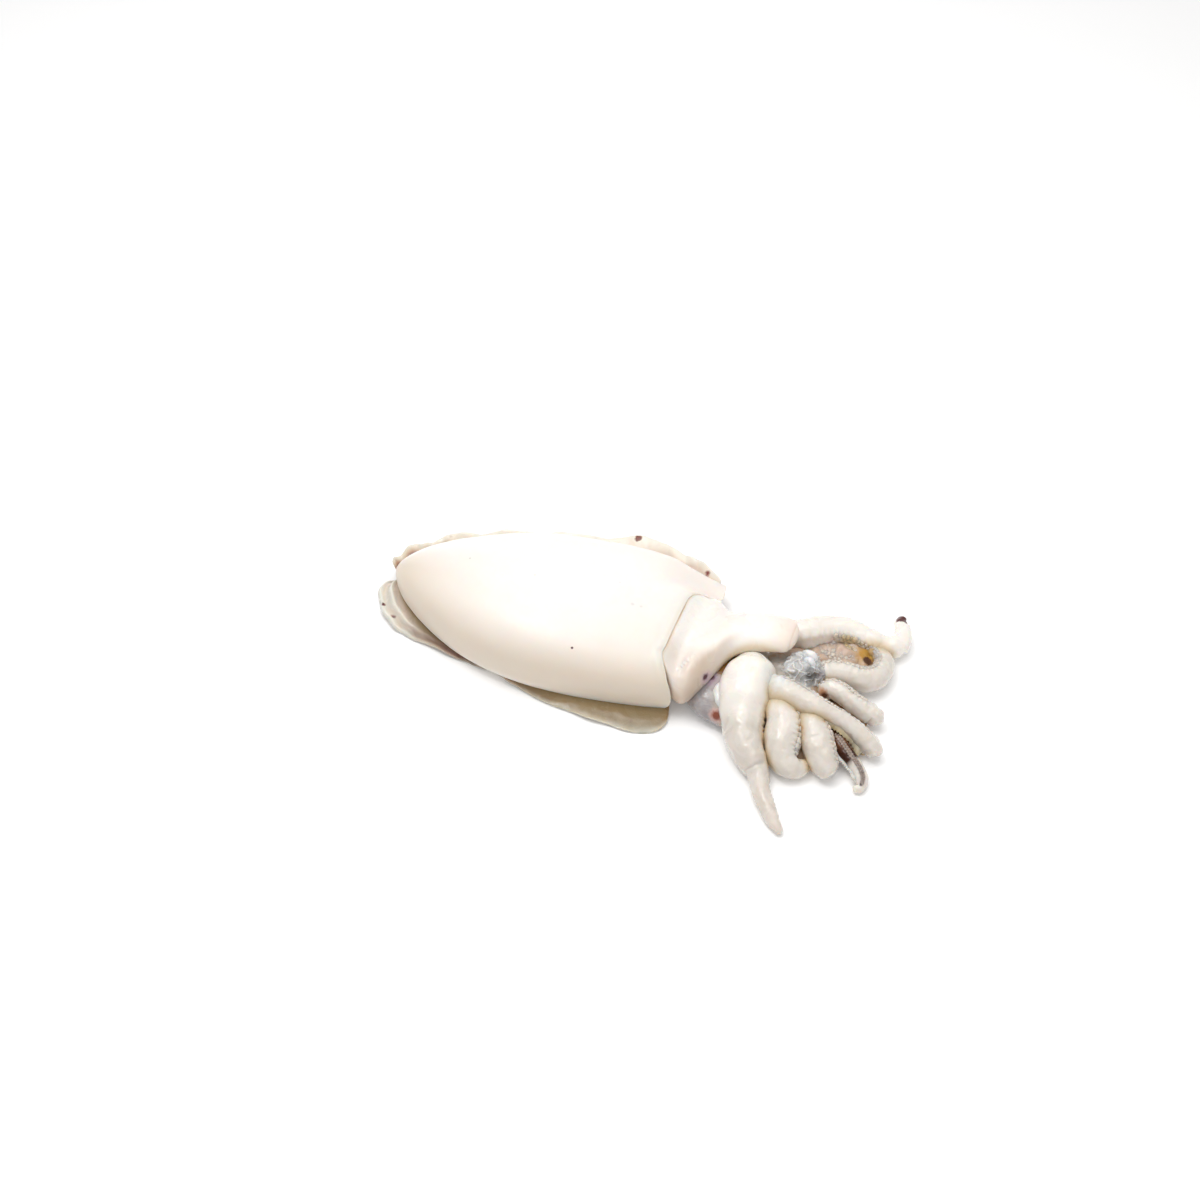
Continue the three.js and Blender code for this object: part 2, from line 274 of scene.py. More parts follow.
# one pigment spot: 1 near its place, 0 past its radius, with an edge that noise makes uneven
def pigmentSpotGroup():
    group, given, out = newGroup("pigmentSpot", {"Place": (0.0, 0.0, 0.0), "Radius": mm}, ["Mask"])
    place = put(group, "TexCoord").outputs["Object"]
    uneven = put(group, "TexNoise", {"Vector": place, **patterns["spotEdge"]}).outputs["Fac"]
    away = put(group, "VectorMath", {0: place, 1: given["Place"]}, operation="DISTANCE").outputs["Value"]
    edge = sums(group, "MULTIPLY", given["Radius"], sums(group, "ADD", uneven, patterns["spotLeast"]))
    core = sums(group, "MULTIPLY", edge, patterns["spotCore"])
    group.links.new(ranged(group, away, edge, core), out["Mask"])
    return group


moistFlesh = moistFleshGroup()
pigmentCells = pigmentCellsGroup()
pigmentSpot = pigmentSpotGroup()


# Materials

# a new material, its nodes and its main shader
def newMaterial(name):
    material = bpy.data.materials.new(name)
    material.use_nodes = True
    tree = material.node_tree
    return material, tree, tree.nodes["Principled BSDF"]


# a shader's inputs set to plain values
def setShader(shader, values):
    for key, value in values.items():
        shader.inputs[key].default_value = value


# raw flesh: a mottled ground, tinted by the piece's masks and then by its spots, under a wet film
def fleshMaterial(name, look):
    material, tree, shader = newMaterial(name)
    flesh = put(tree, "Group", look["skin"], node_tree=moistFlesh).outputs
    colour = mixColour(tree, flesh["Mottle"], look["light"], look["dark"])
    for mask, tint, strength in look["tints"]:
        masked = put(tree, "Attribute", attribute_name=mask).outputs["Fac"]
        colour = mixColour(tree, sums(tree, "MULTIPLY", masked, strength, clamp=True), colour, tint)
    if "cells" in look:
        cells = put(tree, "Group", look["cells"], node_tree=pigmentCells).outputs["Specks"]
        amount = sums(tree, "MULTIPLY", cells, look["cellStrength"])
        colour = mixColour(tree, amount, colour, look["cellColour"])
    for place, radius, tint, strength in look["spots"]:
        inputs = {"Place": tuple(mm * value for value in place), "Radius": mm * radius}
        masked = put(tree, "Group", inputs, node_tree=pigmentSpot).outputs["Mask"]
        colour = mixColour(tree, sums(tree, "MULTIPLY", masked, strength, clamp=True), colour, tint)
    bump = put(tree, "Bump", {"Height": flesh["Height"], "Strength": look["bump"], "Distance": mm})
    film = ranged(tree, flesh["Film"], 0.0, 1.0, patterns["thinFilm"] * look["film"], look["film"])
    for key, value in (("Base Color", colour), ("Roughness", flesh["Roughness"]),
                       ("Normal", bump.outputs["Normal"]), ("Coat Weight", film)):
        tree.links.new(value, shader.inputs[key])
    setShader(shader, fleshShader)
    return material


fleshShader = {
    "IOR": 1.38, "Coat Roughness": 0.07, "Coat IOR": 1.33,
    "Subsurface Weight": 0.55, "Subsurface Radius": (1.0, 0.58, 0.36), "Subsurface Scale": 0.007,
}
# colours of painted shade, warm in the creases between parts: ochre on the flesh, brown on the webs
creaseShadeOchre = (0.6, 0.43, 0.22)
creaseShadeBrown = (0.34, 0.17, 0.05)
# painted warm shade for the gaps under the funnel
gapShadeGold = (0.25, 0.115, 0.018)
# painted shade for holes and hollows
hollowShadeBrown = (0.09, 0.035, 0.015)
pigmentPurple = (0.1, 0.03, 0.045)
maroon = (0.09, 0.02, 0.018)
rosePink = (0.72, 0.45, 0.4)
paleFlesh = (0.91, 0.87, 0.81)

mantleFlesh = fleshMaterial("mantleFlesh", {
    "light": (0.91, 0.88, 0.85), "dark": (0.89, 0.85, 0.81),
    "skin": {"Mottle Scale": 28.0, "Grain Scale": 1100.0, "Wet": 0.3, "Dry": 0.42},
    # flank: painted shade down the near flank
    "tints": [("flank", (0.72, 0.63, 0.525), 0.95), ("flap", (0.9, 0.8, 0.73), 0.5),
              # groove: painted shade along the bottom edge, where the mantle overhangs the fin
              ("blush", (0.9, 0.74, 0.66), 0.6), ("groove", (0.5, 0.34, 0.13), 0.8),
              ("rim", (0.84, 0.6, 0.38), 0.9)],
    "spots": [((-22.3, -27.0, 34.5), 0.8, pigmentPurple, 1.6),
              ((-101.8, 15.1, 37.1), 0.8, (0.5, 0.48, 0.46), 0.6),
              ((-43.1, -22.8, 38.7), 0.7, (0.5, 0.45, 0.42), 0.6),
              ((-12.0, 24.3, 39.6), 0.8, (0.6, 0.57, 0.54), 0.5),
              ((-59.5, 11.6, 41.7), 0.7, (0.6, 0.57, 0.54), 0.5),
              ((0.0, 12.0, 38.9), 1.3, (0.66, 0.63, 0.6), 0.6),
              ((5.0, 12.5, 37.9), 1.1, (0.66, 0.63, 0.6), 0.6)],
    "bump": 0.08, "film": 0.25,
})
finFlesh = fleshMaterial("finFlesh", {
    "light": (0.3, 0.24, 0.145), "dark": (0.21, 0.16, 0.09),
    "skin": {"Mottle Scale": 110.0, "Grain Scale": 1300.0, "Wet": 0.14, "Dry": 0.32},
    "tints": [("pale", (0.73, 0.62, 0.54), 0.9), ("veil", (0.8, 0.71, 0.64), 0.9),
              # groove: painted shade at the root, under the mantle's edge
              ("ridge", (0.84, 0.77, 0.7), 0.7), ("groove", (0.33, 0.235, 0.115), 0.9),
              # edge: painted light, paler towards the free edge as if the floor showed through the thin
              # membrane
              ("edge", (0.66, 0.63, 0.56), 0.5), ("stain", (0.13, 0.06, 0.065), 0.85)],
    "cells": {"Scale": 170.0, "Share": 0.14, "Size": 0.26}, "cellStrength": 0.35,
    "cellColour": (0.2, 0.1, 0.09),
    "spots": [((-149.2, -8.9, 4.0), 1.7, pigmentPurple, 1.3), ((-139.7, -15.6, 5.0), 2.1, pigmentPurple, 1.3),
              ((-21.5, 85.0, 14.0), 2.5, (0.07, 0.018, 0.014), 1.6),
              ((-110.8, 47.5, 18.0), 1.8, pigmentPurple, 0.6), ((-98.6, 53.0, 18.0), 1.6, pigmentPurple, 0.6),
              ((14.1, 77.0, 14.0), 1.6, pigmentPurple, 0.6), ((27.0, 73.0, 12.5), 2.2, pigmentPurple, 1.0)],
    "bump": 0.25, "film": 0.7,
})
funnelFlesh = fleshMaterial("funnelFlesh", {
    "light": (0.91, 0.87, 0.83), "dark": (0.88, 0.83, 0.78),
    "skin": {"Mottle Scale": 40.0, "Grain Scale": 1000.0, "Wet": 0.2, "Dry": 0.38},
    # collar: painted shade on the collar's near side; flank: painted shade, darker towards the bottom
    "tints": [("collar", (0.6, 0.485, 0.385), 0.95), ("flank", (0.7, 0.58, 0.47), 0.65),
              # crease: painted warm shade in the gaps between parts
              ("tip", (0.86, 0.73, 0.63), 0.75), ("creaseShade", (0.6, 0.42, 0.16), 0.5),
              # the tan line after the tip's rim: painted shade where the collar runs under the mantle's lip
              ("rim", (0.8, 0.63, 0.54), 0.6), ("lipShade", (0.8, 0.56, 0.33), 0.85),
              # pucker: painted highlight on the puckers' crests
              ("pucker", (0.94, 0.9, 0.86), 0.9)],
    "spots": [((41.5, 20.5, 32.2), 0.6, (0.3, 0.26, 0.25), 0.9),
              ((46.5, 21.7, 32.9), 0.6, (0.3, 0.26, 0.25), 0.8),
              ((52.8, -13.2, 23.4), 5.2, (0.58, 0.45, 0.5), 0.9),
              ((52.2, -13.5, 24.3), 2.4, pigmentPurple, 1.1)],
    "bump": 0.14, "film": 0.5,
})
headFlesh = fleshMaterial("headFlesh", {
    "light": (0.44, 0.415, 0.41), "dark": (0.3, 0.275, 0.285),
    "skin": {"Mottle Scale": 150.0, "Grain Scale": 1000.0, "Wet": 0.1, "Dry": 0.28},
    "tints": [("creaseShade", creaseShadeOchre, 0.3)],
    "cells": {"Scale": 300.0, "Share": 0.3, "Size": 0.3}, "cellStrength": 0.3,
    "cellColour": (0.24, 0.14, 0.15),
    "spots": [((64.0, -28.0, 11.6), 5.0, rosePink, 0.9), ((64.0, -28.0, 11.6), 3.3, (0.24, 0.07, 0.04), 1.2),
              ((54.0, -9.0, 20.0), 6.5, (0.4, 0.3, 0.37), 1.0), ((54.7, -7.8, 18.8), 2.1, pigmentPurple, 0.9),
              # the next two spots: painted warm shade in the gaps under the funnel
              ((59.5, 1.5, 19.5), 7.5, gapShadeGold, 1.4), ((66.5, 12.0, 18.5), 10.5, gapShadeGold, 1.4)],
    "bump": 0.4, "film": 0.9,
})
beakFlesh = fleshMaterial("beakFlesh", {
    "light": (0.84, 0.84, 0.84), "dark": (0.58, 0.585, 0.585),
    "skin": {"Mottle Scale": 130.0, "Grain Scale": 900.0, "Wet": 0.08, "Dry": 0.24},
    # valley: painted shade between the crests and under the lobes
    "tints": [("valleyShade", (0.3, 0.3, 0.29), 0.7), ("creaseShade", (0.45, 0.37, 0.26), 0.4)],
    # painted light on the beak's upper side, then painted shadow on its lower right
    "spots": [((104.5, 21.5, 26.5), 5.0, (0.88, 0.81, 0.79), 0.7),
              ((111.5, 15.0, 18.0), 5.5, (0.4, 0.37, 0.38), 1.0),
              ((107.0, 11.5, 20.0), 5.0, (0.15, 0.145, 0.14), 1.2)],
    "bump": 0.35, "film": 0.9,
})
armFlesh = fleshMaterial("armFlesh", {
    "light": (0.705, 0.66, 0.61), "dark": (0.605, 0.555, 0.49),
    "skin": {"Mottle Scale": 90.0, "Grain Scale": 950.0, "Wet": 0.13, "Dry": 0.32},
    "tints": [("pale", paleFlesh, 1.0), ("oral", (0.7, 0.53, 0.44), 0.5), ("creaseShade", creaseShadeOchre, 0.75),
              # stain: the under arm's own dark sucker strip, and painted shade on its root
              ("stain", (0.045, 0.011, 0.004), 1.8)],
    # the maroon tip is pigment; the dark spot after it is painted shade in the front inner arm's coil
    "spots": [((144.6, 83.5, 7.0), 5.6, maroon, 2.5), ((113.5, -36.5, 8.0), 3.4, hollowShadeBrown, 1.2),
              # a cool pale patch on the over arm's root: partly its own bluish translucent tone, partly a
              # painted sheen on its top
              ((90.5, -1.5, 25.5), 10.0, (0.74, 0.79, 0.81), 0.6),
              # painted shade in the gap between the two front arms
              ((112.9, -24.7, 17.9), 1.7, (0.55, 0.25, 0.1), 0.8),
              # painted shade in a hollow beside the middle arm's root
              ((116.5, 6.0, 15.0), 4.2, (0.5, 0.2, 0.06), 0.8), ((117.5, 4.2, 14.5), 2.8, hollowShadeBrown, 0.9),
              # painted shade in the hole inside the curled arm
              ((131.0, 45.0, 8.0), 7.0, (0.5, 0.28, 0.06), 0.95), ((133.5, 42.0, 8.5), 3.2, hollowShadeBrown, 1.5),
              # painted shade in the cavity under the over arm
              ((134.5, -20.0, 9.0), 8.0, (0.2, 0.075, 0.025), 0.7)],
    "bump": 0.2, "film": 0.9,
})
webFlesh = fleshMaterial("webFlesh", {
    "light": (0.56, 0.44, 0.36), "dark": (0.42, 0.3, 0.21),
    "skin": {"Mottle Scale": 130.0, "Grain Scale": 950.0, "Wet": 0.14, "Dry": 0.32},
    "tints": [("creaseShade", creaseShadeBrown, 0.7)],
    "spots": [((112.0, 42.0, 11.0), 17.0, (0.54, 0.405, 0.32), 1.2),
              # painted shade in the hole inside the curled arm
              ((131.0, 45.0, 9.0), 7.5, (0.5, 0.28, 0.06), 1.0), ((133.5, 42.0, 9.5), 3.6, hollowShadeBrown, 1.5),
              # painted shade in the cavity under the over arm
              ((131.0, -18.0, 9.0), 13.0, hollowShadeBrown, 1.2),
              ((88.0, 13.5, 17.5), 10.0, (0.46, 0.42, 0.38), 1.4),
              # the next spot: painted warm shade in the gap under the funnel
              ((59.5, 1.5, 19.5), 7.5, gapShadeGold, 1.4), ((103.0, 4.5, 14.5), 8.5, (0.4, 0.36, 0.33), 1.2)],
    "bump": 0.3, "film": 0.6,
})
frillFlesh = fleshMaterial("frillFlesh", {
    "light": (0.79, 0.65, 0.48), "dark": (0.66, 0.48, 0.29),
    "skin": {"Mottle Scale": 120.0, "Grain Scale": 1000.0, "Wet": 0.14, "Dry": 0.32},
    "tints": [("edge", (0.5, 0.32, 0.13), 0.5)],
    "spots": [],
    "bump": 0.2, "film": 0.6,
})
suckerFlesh = fleshMaterial("suckerFlesh", {
    "light": (0.83, 0.72, 0.63), "dark": (0.75, 0.6, 0.51),
    "skin": {"Mottle Scale": 200.0, "Grain Scale": 1200.0, "Wet": 0.14, "Dry": 0.34},
    "tints": [("warm", (0.68, 0.53, 0.43), 0.9), ("cup", (0.66, 0.5, 0.43), 0.3),
              ("stain", (0.14, 0.055, 0.04), 0.95)],
    "spots": [((120.0, 50.5, 12.0), 8.0, (0.62, 0.4, 0.16), 0.7)],
    "bump": 0.1, "film": 0.6,
})
print("materials ready")


# The mantle

mantleShape = {
    "tailX": -149.0, "cornerX": 40.5, "slantX": 1.5, "cornerRound": 2.5, "cornerSharpness": 6,
    "axisY": 11.5, "sideZ": 13.0, "underside": 9.0, "height": 42.0, "crestAt": 0.6, "frontHeight": 37.0,
    "near": {"halfWidth": 51.0, "widestAt": 0.58, "frontHalfWidth": 40.0, "fullness": 0.7},
    "far": {"halfWidth": 60.0, "widestAt": 0.8, "frontHalfWidth": 55.0, "fullness": 0.72},
    "squareness": 0.76,
    "droopShare": 0.95, "droopFromLength": 0.8, "droopFromOut": 0.38, "droopToOut": 0.8,
    "notchDepth": 13.5, "notchNear": (-35.0, -11.0), "notchFar": (55.0, 27.0),
    "setBack": 15.0, "setBackFrom": -0.05,
    "pleatY": -12.0, "pleatDepth": 0.5, "pleatWidth": 2.6, "pleatRun": 7.0,
    "lipThick": 1.3, "lipAhead": 0.6, "lipRings": 9,
    "wallX": -6.0, "wallInset": 3.0, "floorX": 13.0, "floorInset": 9.0,
    "roll": 0.6, "rollAt": 3.0, "rollWidth": 2.5,
    "bulge": 0.5, "bulgeSize": 70.0, "dimple": 0.1, "dimpleSize": 15.0,
    # the painted shade on the near flank: where it begins and ends in height, how much a painted floor bounce
    # lifts it near the bottom, and on which side it falls
    "flankShadeZ": (47.5, 22.0), "floorBounceZ": (13.0, 2.0), "lowShare": 0.7, "nearOut": (0.4, -0.25),
    "flapX": (-25.0, 15.0), "flapY": (28.0, 48.0), "blushReach": 8.0, "blushY": (-22.0, 0.0),
    "rimWidth": 1.5, "rimFaint": 0.25, "rimArc": (0.6, 2.4),
    "rimNear": (-33.0, -22.0), "rimFar": (54.0, 46.0),
    # the painted shade along the bottom edge: its height, where it grows towards the tail, and its least
    # share
    "grooveShadeZ": 2.2, "grooveShadeX": (-30.0, -105.0), "grooveShadeLeast": 0.35,
    "sides": 320, "rings": 170, "frontFineness": 1.6,
}


# half the width on one side: a swell up to the widest place, then a parabola to the front
def mantleHalfWidth(side, share):
    past = np.clip((share - side["widestAt"]) / (1.0 - side["widestAt"]), 0.0, None)
    drop = (side["frontHalfWidth"] - side["halfWidth"]) * past ** 2
    return side["halfWidth"] * swell(share / side["widestAt"], side["fullness"]) + drop


# a superellipse across the mantle, higher above its sides than below, flat where it lies
def mantleSection(share, turn):
    m = mantleShape
    out = signedPower(np.cos(turn), m["squareness"])
    up = signedPower(np.sin(turn), m["squareness"])
    rise = swell(share / m["crestAt"])
    sink = ramp(share, m["crestAt"], 1.0)
    droop = ramp(share, m["droopFromLength"], 1.0) * ramp(out, m["droopFromOut"], m["droopToOut"])
    crown = (m["height"] - m["sideZ"]) * rise - (m["height"] - m["frontHeight"]) * sink
    crown = crown * (1.0 - m["droopShare"] * droop)
    keel = (m["sideZ"] + m["underside"]) * rise
    width = np.where(out > 0.0, mantleHalfWidth(m["far"], share), mantleHalfWidth(m["near"], share))
    y = m["axisY"] + out * width
    z = m["sideZ"] + up * np.where(up > 0.0, crown, keel)
    return y, np.maximum(z, 0.0)


# x of the front edge: a corner line with round ends, notched above for the funnel, set back below
def mantleFront(turn):
    m = mantleShape
    y = mantleSection(np.ones_like(turn), turn)[0]
    out, up = np.cos(turn), np.sin(turn)
    inNotch = ramp(y, *m["notchNear"]) * ramp(y, *m["notchFar"]) * onTop(up)
    pleat = bell(y - m["pleatY"], m["pleatWidth"]) * onTop(up)
    corner = m["cornerX"] + m["slantX"] * out - m["cornerRound"] * np.abs(out) ** m["cornerSharpness"]
    below = ramp(-up, m["setBackFrom"], 1.0)
    return corner - m["notchDepth"] * inNotch - m["pleatDepth"] * pleat - m["setBack"] * below


# how far the outer skin stands off its plain form: low bulges, dimples, a rolled edge and the pleat's groove
def mantleRelief(points, fromEdge, turn):
    m = mantleShape
    relief = m["bulge"] * lumps(points, m["bulgeSize"], seeds["mantleBulge"])
    relief = relief + m["dimple"] * lumps(points, m["dimpleSize"], seeds["mantleDimple"])
    relief = relief + m["roll"] * bell(fromEdge - m["rollAt"], m["rollWidth"]) * smooth(np.sin(turn))
    pleat = bell(points[..., 1] - m["pleatY"], m["pleatWidth"]) * bell(fromEdge, m["pleatRun"])
    relief = relief - m["pleatDepth"] * pleat * onTop(np.sin(turn))
    return relief * ramp(points[..., 2], 0.0, m["underside"])


# the bag: sections from the tail to the front edge, then half a circle round the lip, and in to a floor
def makeMantle():
    m = mantleShape
    turn = turnsRound(m["sides"])
    along = 1.0 - (1.0 - np.linspace(0.0, 1.0, m["rings"] + 1)[1:]) ** m["frontFineness"]
    share = (1.0 - np.cos(0.5 * math.pi * along))[:, None]
    front = mantleFront(turn)
    y, z = mantleSection(share, turn)
    x = m["tailX"] + (front - m["tailX"]) * share
    outer = np.stack(np.broadcast_arrays(x, y, z), -1)
    away = unit(outer * (0.0, 1.0, 1.0) - np.array([0.0, m["axisY"], m["sideZ"]]))
    outer = outer + away * mantleRelief(outer, front - x, turn)[..., None]
    arc = np.linspace(0.0, math.pi, m["lipRings"] + 1)[1:, None]
    level = 0.0 * front
    beyond = np.concatenate([m["lipAhead"] * np.sin(arc) + level, m["wallX"] + level, m["floorX"] - front])
    inset = np.concatenate([0.5 * m["lipThick"] * (1.0 - np.cos(arc)), [[m["wallInset"]], [m["floorInset"]]]])
    edge = outer[-1]
    run = unit(np.roll(edge, -1, axis=0)[:, 1:] - np.roll(edge, 1, axis=0)[:, 1:])
    inward = edge[None, :, 1:] + inset[..., None] * np.stack([-run[:, 1], run[:, 0]], -1)
    inner = np.concatenate([(edge[None, :, 0] + beyond)[..., None], inward], -1)
    rings = np.concatenate([outer, inner])
    ahead, across, height = np.moveaxis(rings, -1, 0)
    rim = np.concatenate([m["rimFaint"] * bell(front - x, m["rimWidth"]), ramp(arc, *m["rimArc"]) + level,
                          np.ones((2, m["sides"]))])
    flap = ramp(ahead, *m["flapX"]) * ramp(across, *m["flapY"])
    # painted shade: darker down the near flank, then lighter again near the floor as painted bounce light
    flank = ramp(height, *m["flankShadeZ"]) * (1.0 - m["lowShare"] * ramp(height, *m["floorBounceZ"]))
    masks = {
        "flank": flank * ramp(np.cos(turn), *m["nearOut"]), "flap": flap,
        "blush": bell(front - ahead, m["blushReach"]) * ramp(across, *m["blushY"]),
        "rim": rim * ramp(across, *m["rimNear"]) * ramp(across, *m["rimFar"]),
        # painted shade along the bottom edge, strongest towards the tail
        "groove": bell(height, m["grooveShadeZ"]) * np.maximum(ramp(ahead, *m["grooveShadeX"]), m["grooveShadeLeast"]),
    }
    poles = np.array([[m["tailX"], m["axisY"], m["sideZ"]],
                      [m["floorX"], m["axisY"], 0.5 * m["frontHeight"]]])
    return skinMesh("mantle_bag", rings, masks, poles)


addPiece(makeMantle(), mantleFlesh, "mantle")
print("mantle made")


# The fins

# widths, rolls, paleness, veils, the widths of the painted shade at the root and stains are given at even
# steps from the tail forwards
finShape = {
    "rootZ": 3.2, "rootInset": 8.0, "rootThick": 3.0, "edgeThick": 0.7, "tailRound": 0.1, "frontRound": 0.06,
    "endsAt": 0.98, "slopeStep": 0.02, "steps": 460, "around": 64,
    "ridgesAt": (0.6, 0.92), "ridgeWidth": 0.09, "grooveAt": -2.0, "edgeFrom": 0.72, "stainWave": 0.035,
    "crimp": 0.35, "frillDrift": 21.0, "wrinkle": 0.25, "wrinkleSize": 7.0,
    "near": {"side": -1, "widths": [11, 12, 14, 13, 6.5, 1, -2.8, 1.5, 6.7, 12, 16],
             "ripple": 1.8, "ripples": 5, "lift": 0.0, "frill": 0.25, "frills": 11,
             "roll": [2.2, 2.6, 2.4, 1.4, 0.5, 0, 0, 0, 0, 0.1, 0.1],
             "pale": [0.9, 1, 1, 0.7, 0.3, 0, 0, 0, 0, 0, 0],
             "veil": [0, 0], "groove": [2.2, 2.4, 2.8, 3.6, 4.5, 4, 3, 4, 6, 7, 7],
             "stainAt": 0.75, "stainWidth": 0.25,
             "stain": [0, 0, 0, 0.1, 0.5, 0.9, 0.8, 0.3, 0, 0, 0]},
    "far": {"side": 1, "widths": [7, 9.5, 11.5, 12.3, 13.5, 11.5, 12, 10.8, 16.2, 13, 3],
            "ripple": 3.5, "ripples": 6.4, "lift": 11.0, "frill": 0.2, "frills": 13,
            "roll": [0.3, 0.3, 0.3, 0.3, 0.3, 0.3, 0.3, 0.3, 0.3, 0.3, 0.2],
            "pale": [0.5, 0.6, 0.7, 0.8, 0.8, 0.8, 0.8, 0.8, 0.8, 0.8, 0.8],
            "veil": [0.1, 0.1, 0.2, 0.5, 0.8, 0.9, 1, 1, 0.9, 0.9, 0.9],
            "groove": [1.5, 1.5], "stainAt": 0.68, "stainWidth": 0.14,
            "stain": [0.9, 1, 1, 0.9, 0.5, 0.2, 0.1, 0.1, 0.15, 0.5, 0.2]},
}


# a thin frill: for each step along the mantle's edge a flat loop from root to free edge and back, with
# ridges along it and waves that grow towards the edge
def makeFin(name):
    f, m, fin = finShape, mantleShape, finShape[name]
    flank = m["near"] if fin["side"] < 0 else m["far"]
    length = m["cornerX"] - m["tailX"]
    share = np.linspace(0.0, 1.0, f["steps"])[:, None]
    out, face = sheetLoop(f["around"])
    reach = f["endsAt"] * (1.0 - np.cos(share * 0.5 * math.pi))
    half = mantleHalfWidth(flank, reach)
    slant = np.arctan2(mantleHalfWidth(flank, reach + f["slopeStep"]) - half, f["slopeStep"] * length)
    ends = swell(share / f["tailRound"]) * swell((1.0 - share) / f["frontRound"])
    frill = np.sin(fullTurn * fin["frills"] * share + np.sin(f["frillDrift"] * share))
    width = (throughPoints(fin["widths"], share) + f["crimp"] * frill) * ends
    offset = out * (f["rootInset"] + width) - f["rootInset"]
    wave = 0.5 * fin["ripple"] * (1.0 + np.sin(share * fin["ripples"] * fullTurn))
    wave = wave + fin["frill"] * (1.0 + frill) * out ** 2
    ridge = sum(bell(out - place, f["ridgeWidth"]) for place in f["ridgesAt"])
    rolled = throughPoints(fin["roll"], share)
    thick = f["rootThick"] + (f["edgeThick"] - f["rootThick"]) * out
    middleZ = f["rootZ"] + (0.5 * f["edgeThick"] + wave + fin["lift"] - f["rootZ"]) * out
    middleZ = middleZ + ridge * rolled
    x = m["tailX"] + length * reach - np.sin(slant) * offset
    y = m["axisY"] + fin["side"] * (half + np.cos(slant) * offset)
    flat = np.stack(np.broadcast_arrays(x, y, 0.0 * x), -1)
    middleZ = middleZ + f["wrinkle"] * lumps(flat, f["wrinkleSize"], seeds["finWrinkle"]) * out
    z = np.maximum(middleZ + 0.5 * face * thick, 0.0)
    rings = np.stack(np.broadcast_arrays(x, y, z), -1)
    stainLine = fin["stainAt"] + f["stainWave"] * frill
    masks = {
        "pale": throughPoints(fin["pale"], share),
        "veil": throughPoints(fin["veil"], share),
        # painted shade at the root, under the mantle's edge
        "groove": bell(np.maximum(offset - f["grooveAt"], 0.0), throughPoints(fin["groove"], share)),
        "ridge": ridge * np.clip(rolled, 0.0, 1.0),
        # painted light: paler towards the free edge
        "edge": ramp(out, f["edgeFrom"], 1.0),
        "stain": throughPoints(fin["stain"], share) * bell(out - stainLine, fin["stainWidth"]),
    }
    return skinMesh("fin_" + name, rings, masks)


for finName in ("near", "far"):
    addPiece(makeFin(finName), finFlesh, "mantle")
print("fins made")


# Limbs: how the arms and other long pieces follow their stations

bendLimit = 0.8  # share of a bend's radius that the flesh may reach towards the bend's middle
bendStep = 0.04  # share of a limb that a bend is measured over
bendSoftness = 12.0  # how sharply the pressed part of a bend begins


# the curve's direction, by a small step each way
def limbTangent(stations, t):
    step = 1e-3
    ahead, behind = np.clip(t + step, 0.0, 1.0), np.clip(t - step, 0.0, 1.0)
    return unit((throughPoints(stations, ahead) - throughPoints(stations, behind))[..., :3])


# shares along a limb and the distance walked from its root at each
def limbWalk(stations, count=400):
    t = np.linspace(0.0, 1.0, count)
    steps = np.diff(throughPoints(stations, t)[:, :3], axis=0)
    return t, np.concatenate([[0.0], np.linalg.norm(steps, axis=1).cumsum()])


# a limb's surface at t along and turn round it: the curve through the stations, plus an ellipse across it
# that is capped round at both ends; the inside of a tight bend is pressed flat
def limbPoints(stations, t, turn, plump=1.0):
    t, turn = np.broadcast_arrays(t, turn)
    rows = throughPoints(stations, t)
    centre, wide, high = rows[..., :3], rows[..., 3], rows[..., -1]
    tangent = limbTangent(stations, t)
    across = unit(np.cross(tangent, (0.0, 0.0, 1.0)))
    over = np.cross(across, tangent)
    after, before = np.clip(t + bendStep, 0.0, 1.0), np.clip(t - bendStep, 0.0, 1.0)
    run = np.linalg.norm((throughPoints(stations, after) - throughPoints(stations, before))[..., :3], axis=-1)
    bend = (limbTangent(stations, after) - limbTangent(stations, before)) / run[..., None]
    cap = swell(limbWalk(stations)[1][-1] * np.minimum(t, 1.0 - t) / wide) * plump
    offset = (cap * wide * np.cos(turn))[..., None] * across + (cap * high * np.sin(turn))[..., None] * over
    inward = (offset * bend).sum(-1)
    press = np.logaddexp(0.0, bendSoftness * (inward - bendLimit)) / bendSoftness
    offset = offset - bend * (press / np.maximum((bend ** 2).sum(-1), tiny))[..., None]
    return centre + offset, unit(offset)


# points pressed up to the floor where they would reach below it
def lying(points):
    return np.maximum(points, (-np.inf, -np.inf, 0.0))


# The arms' routes, root first: x, y and z on the centre line, and the radius there or half the width and half
# the height. oralTurn is the side that carries suckers, in degrees round the arm: 0 to its right, 90 up. They
# stand along span of its length, and pale is how pale it is at its root and tip. Folds are creases across the
# arm: where along it, towards which turn, how deep and how long.

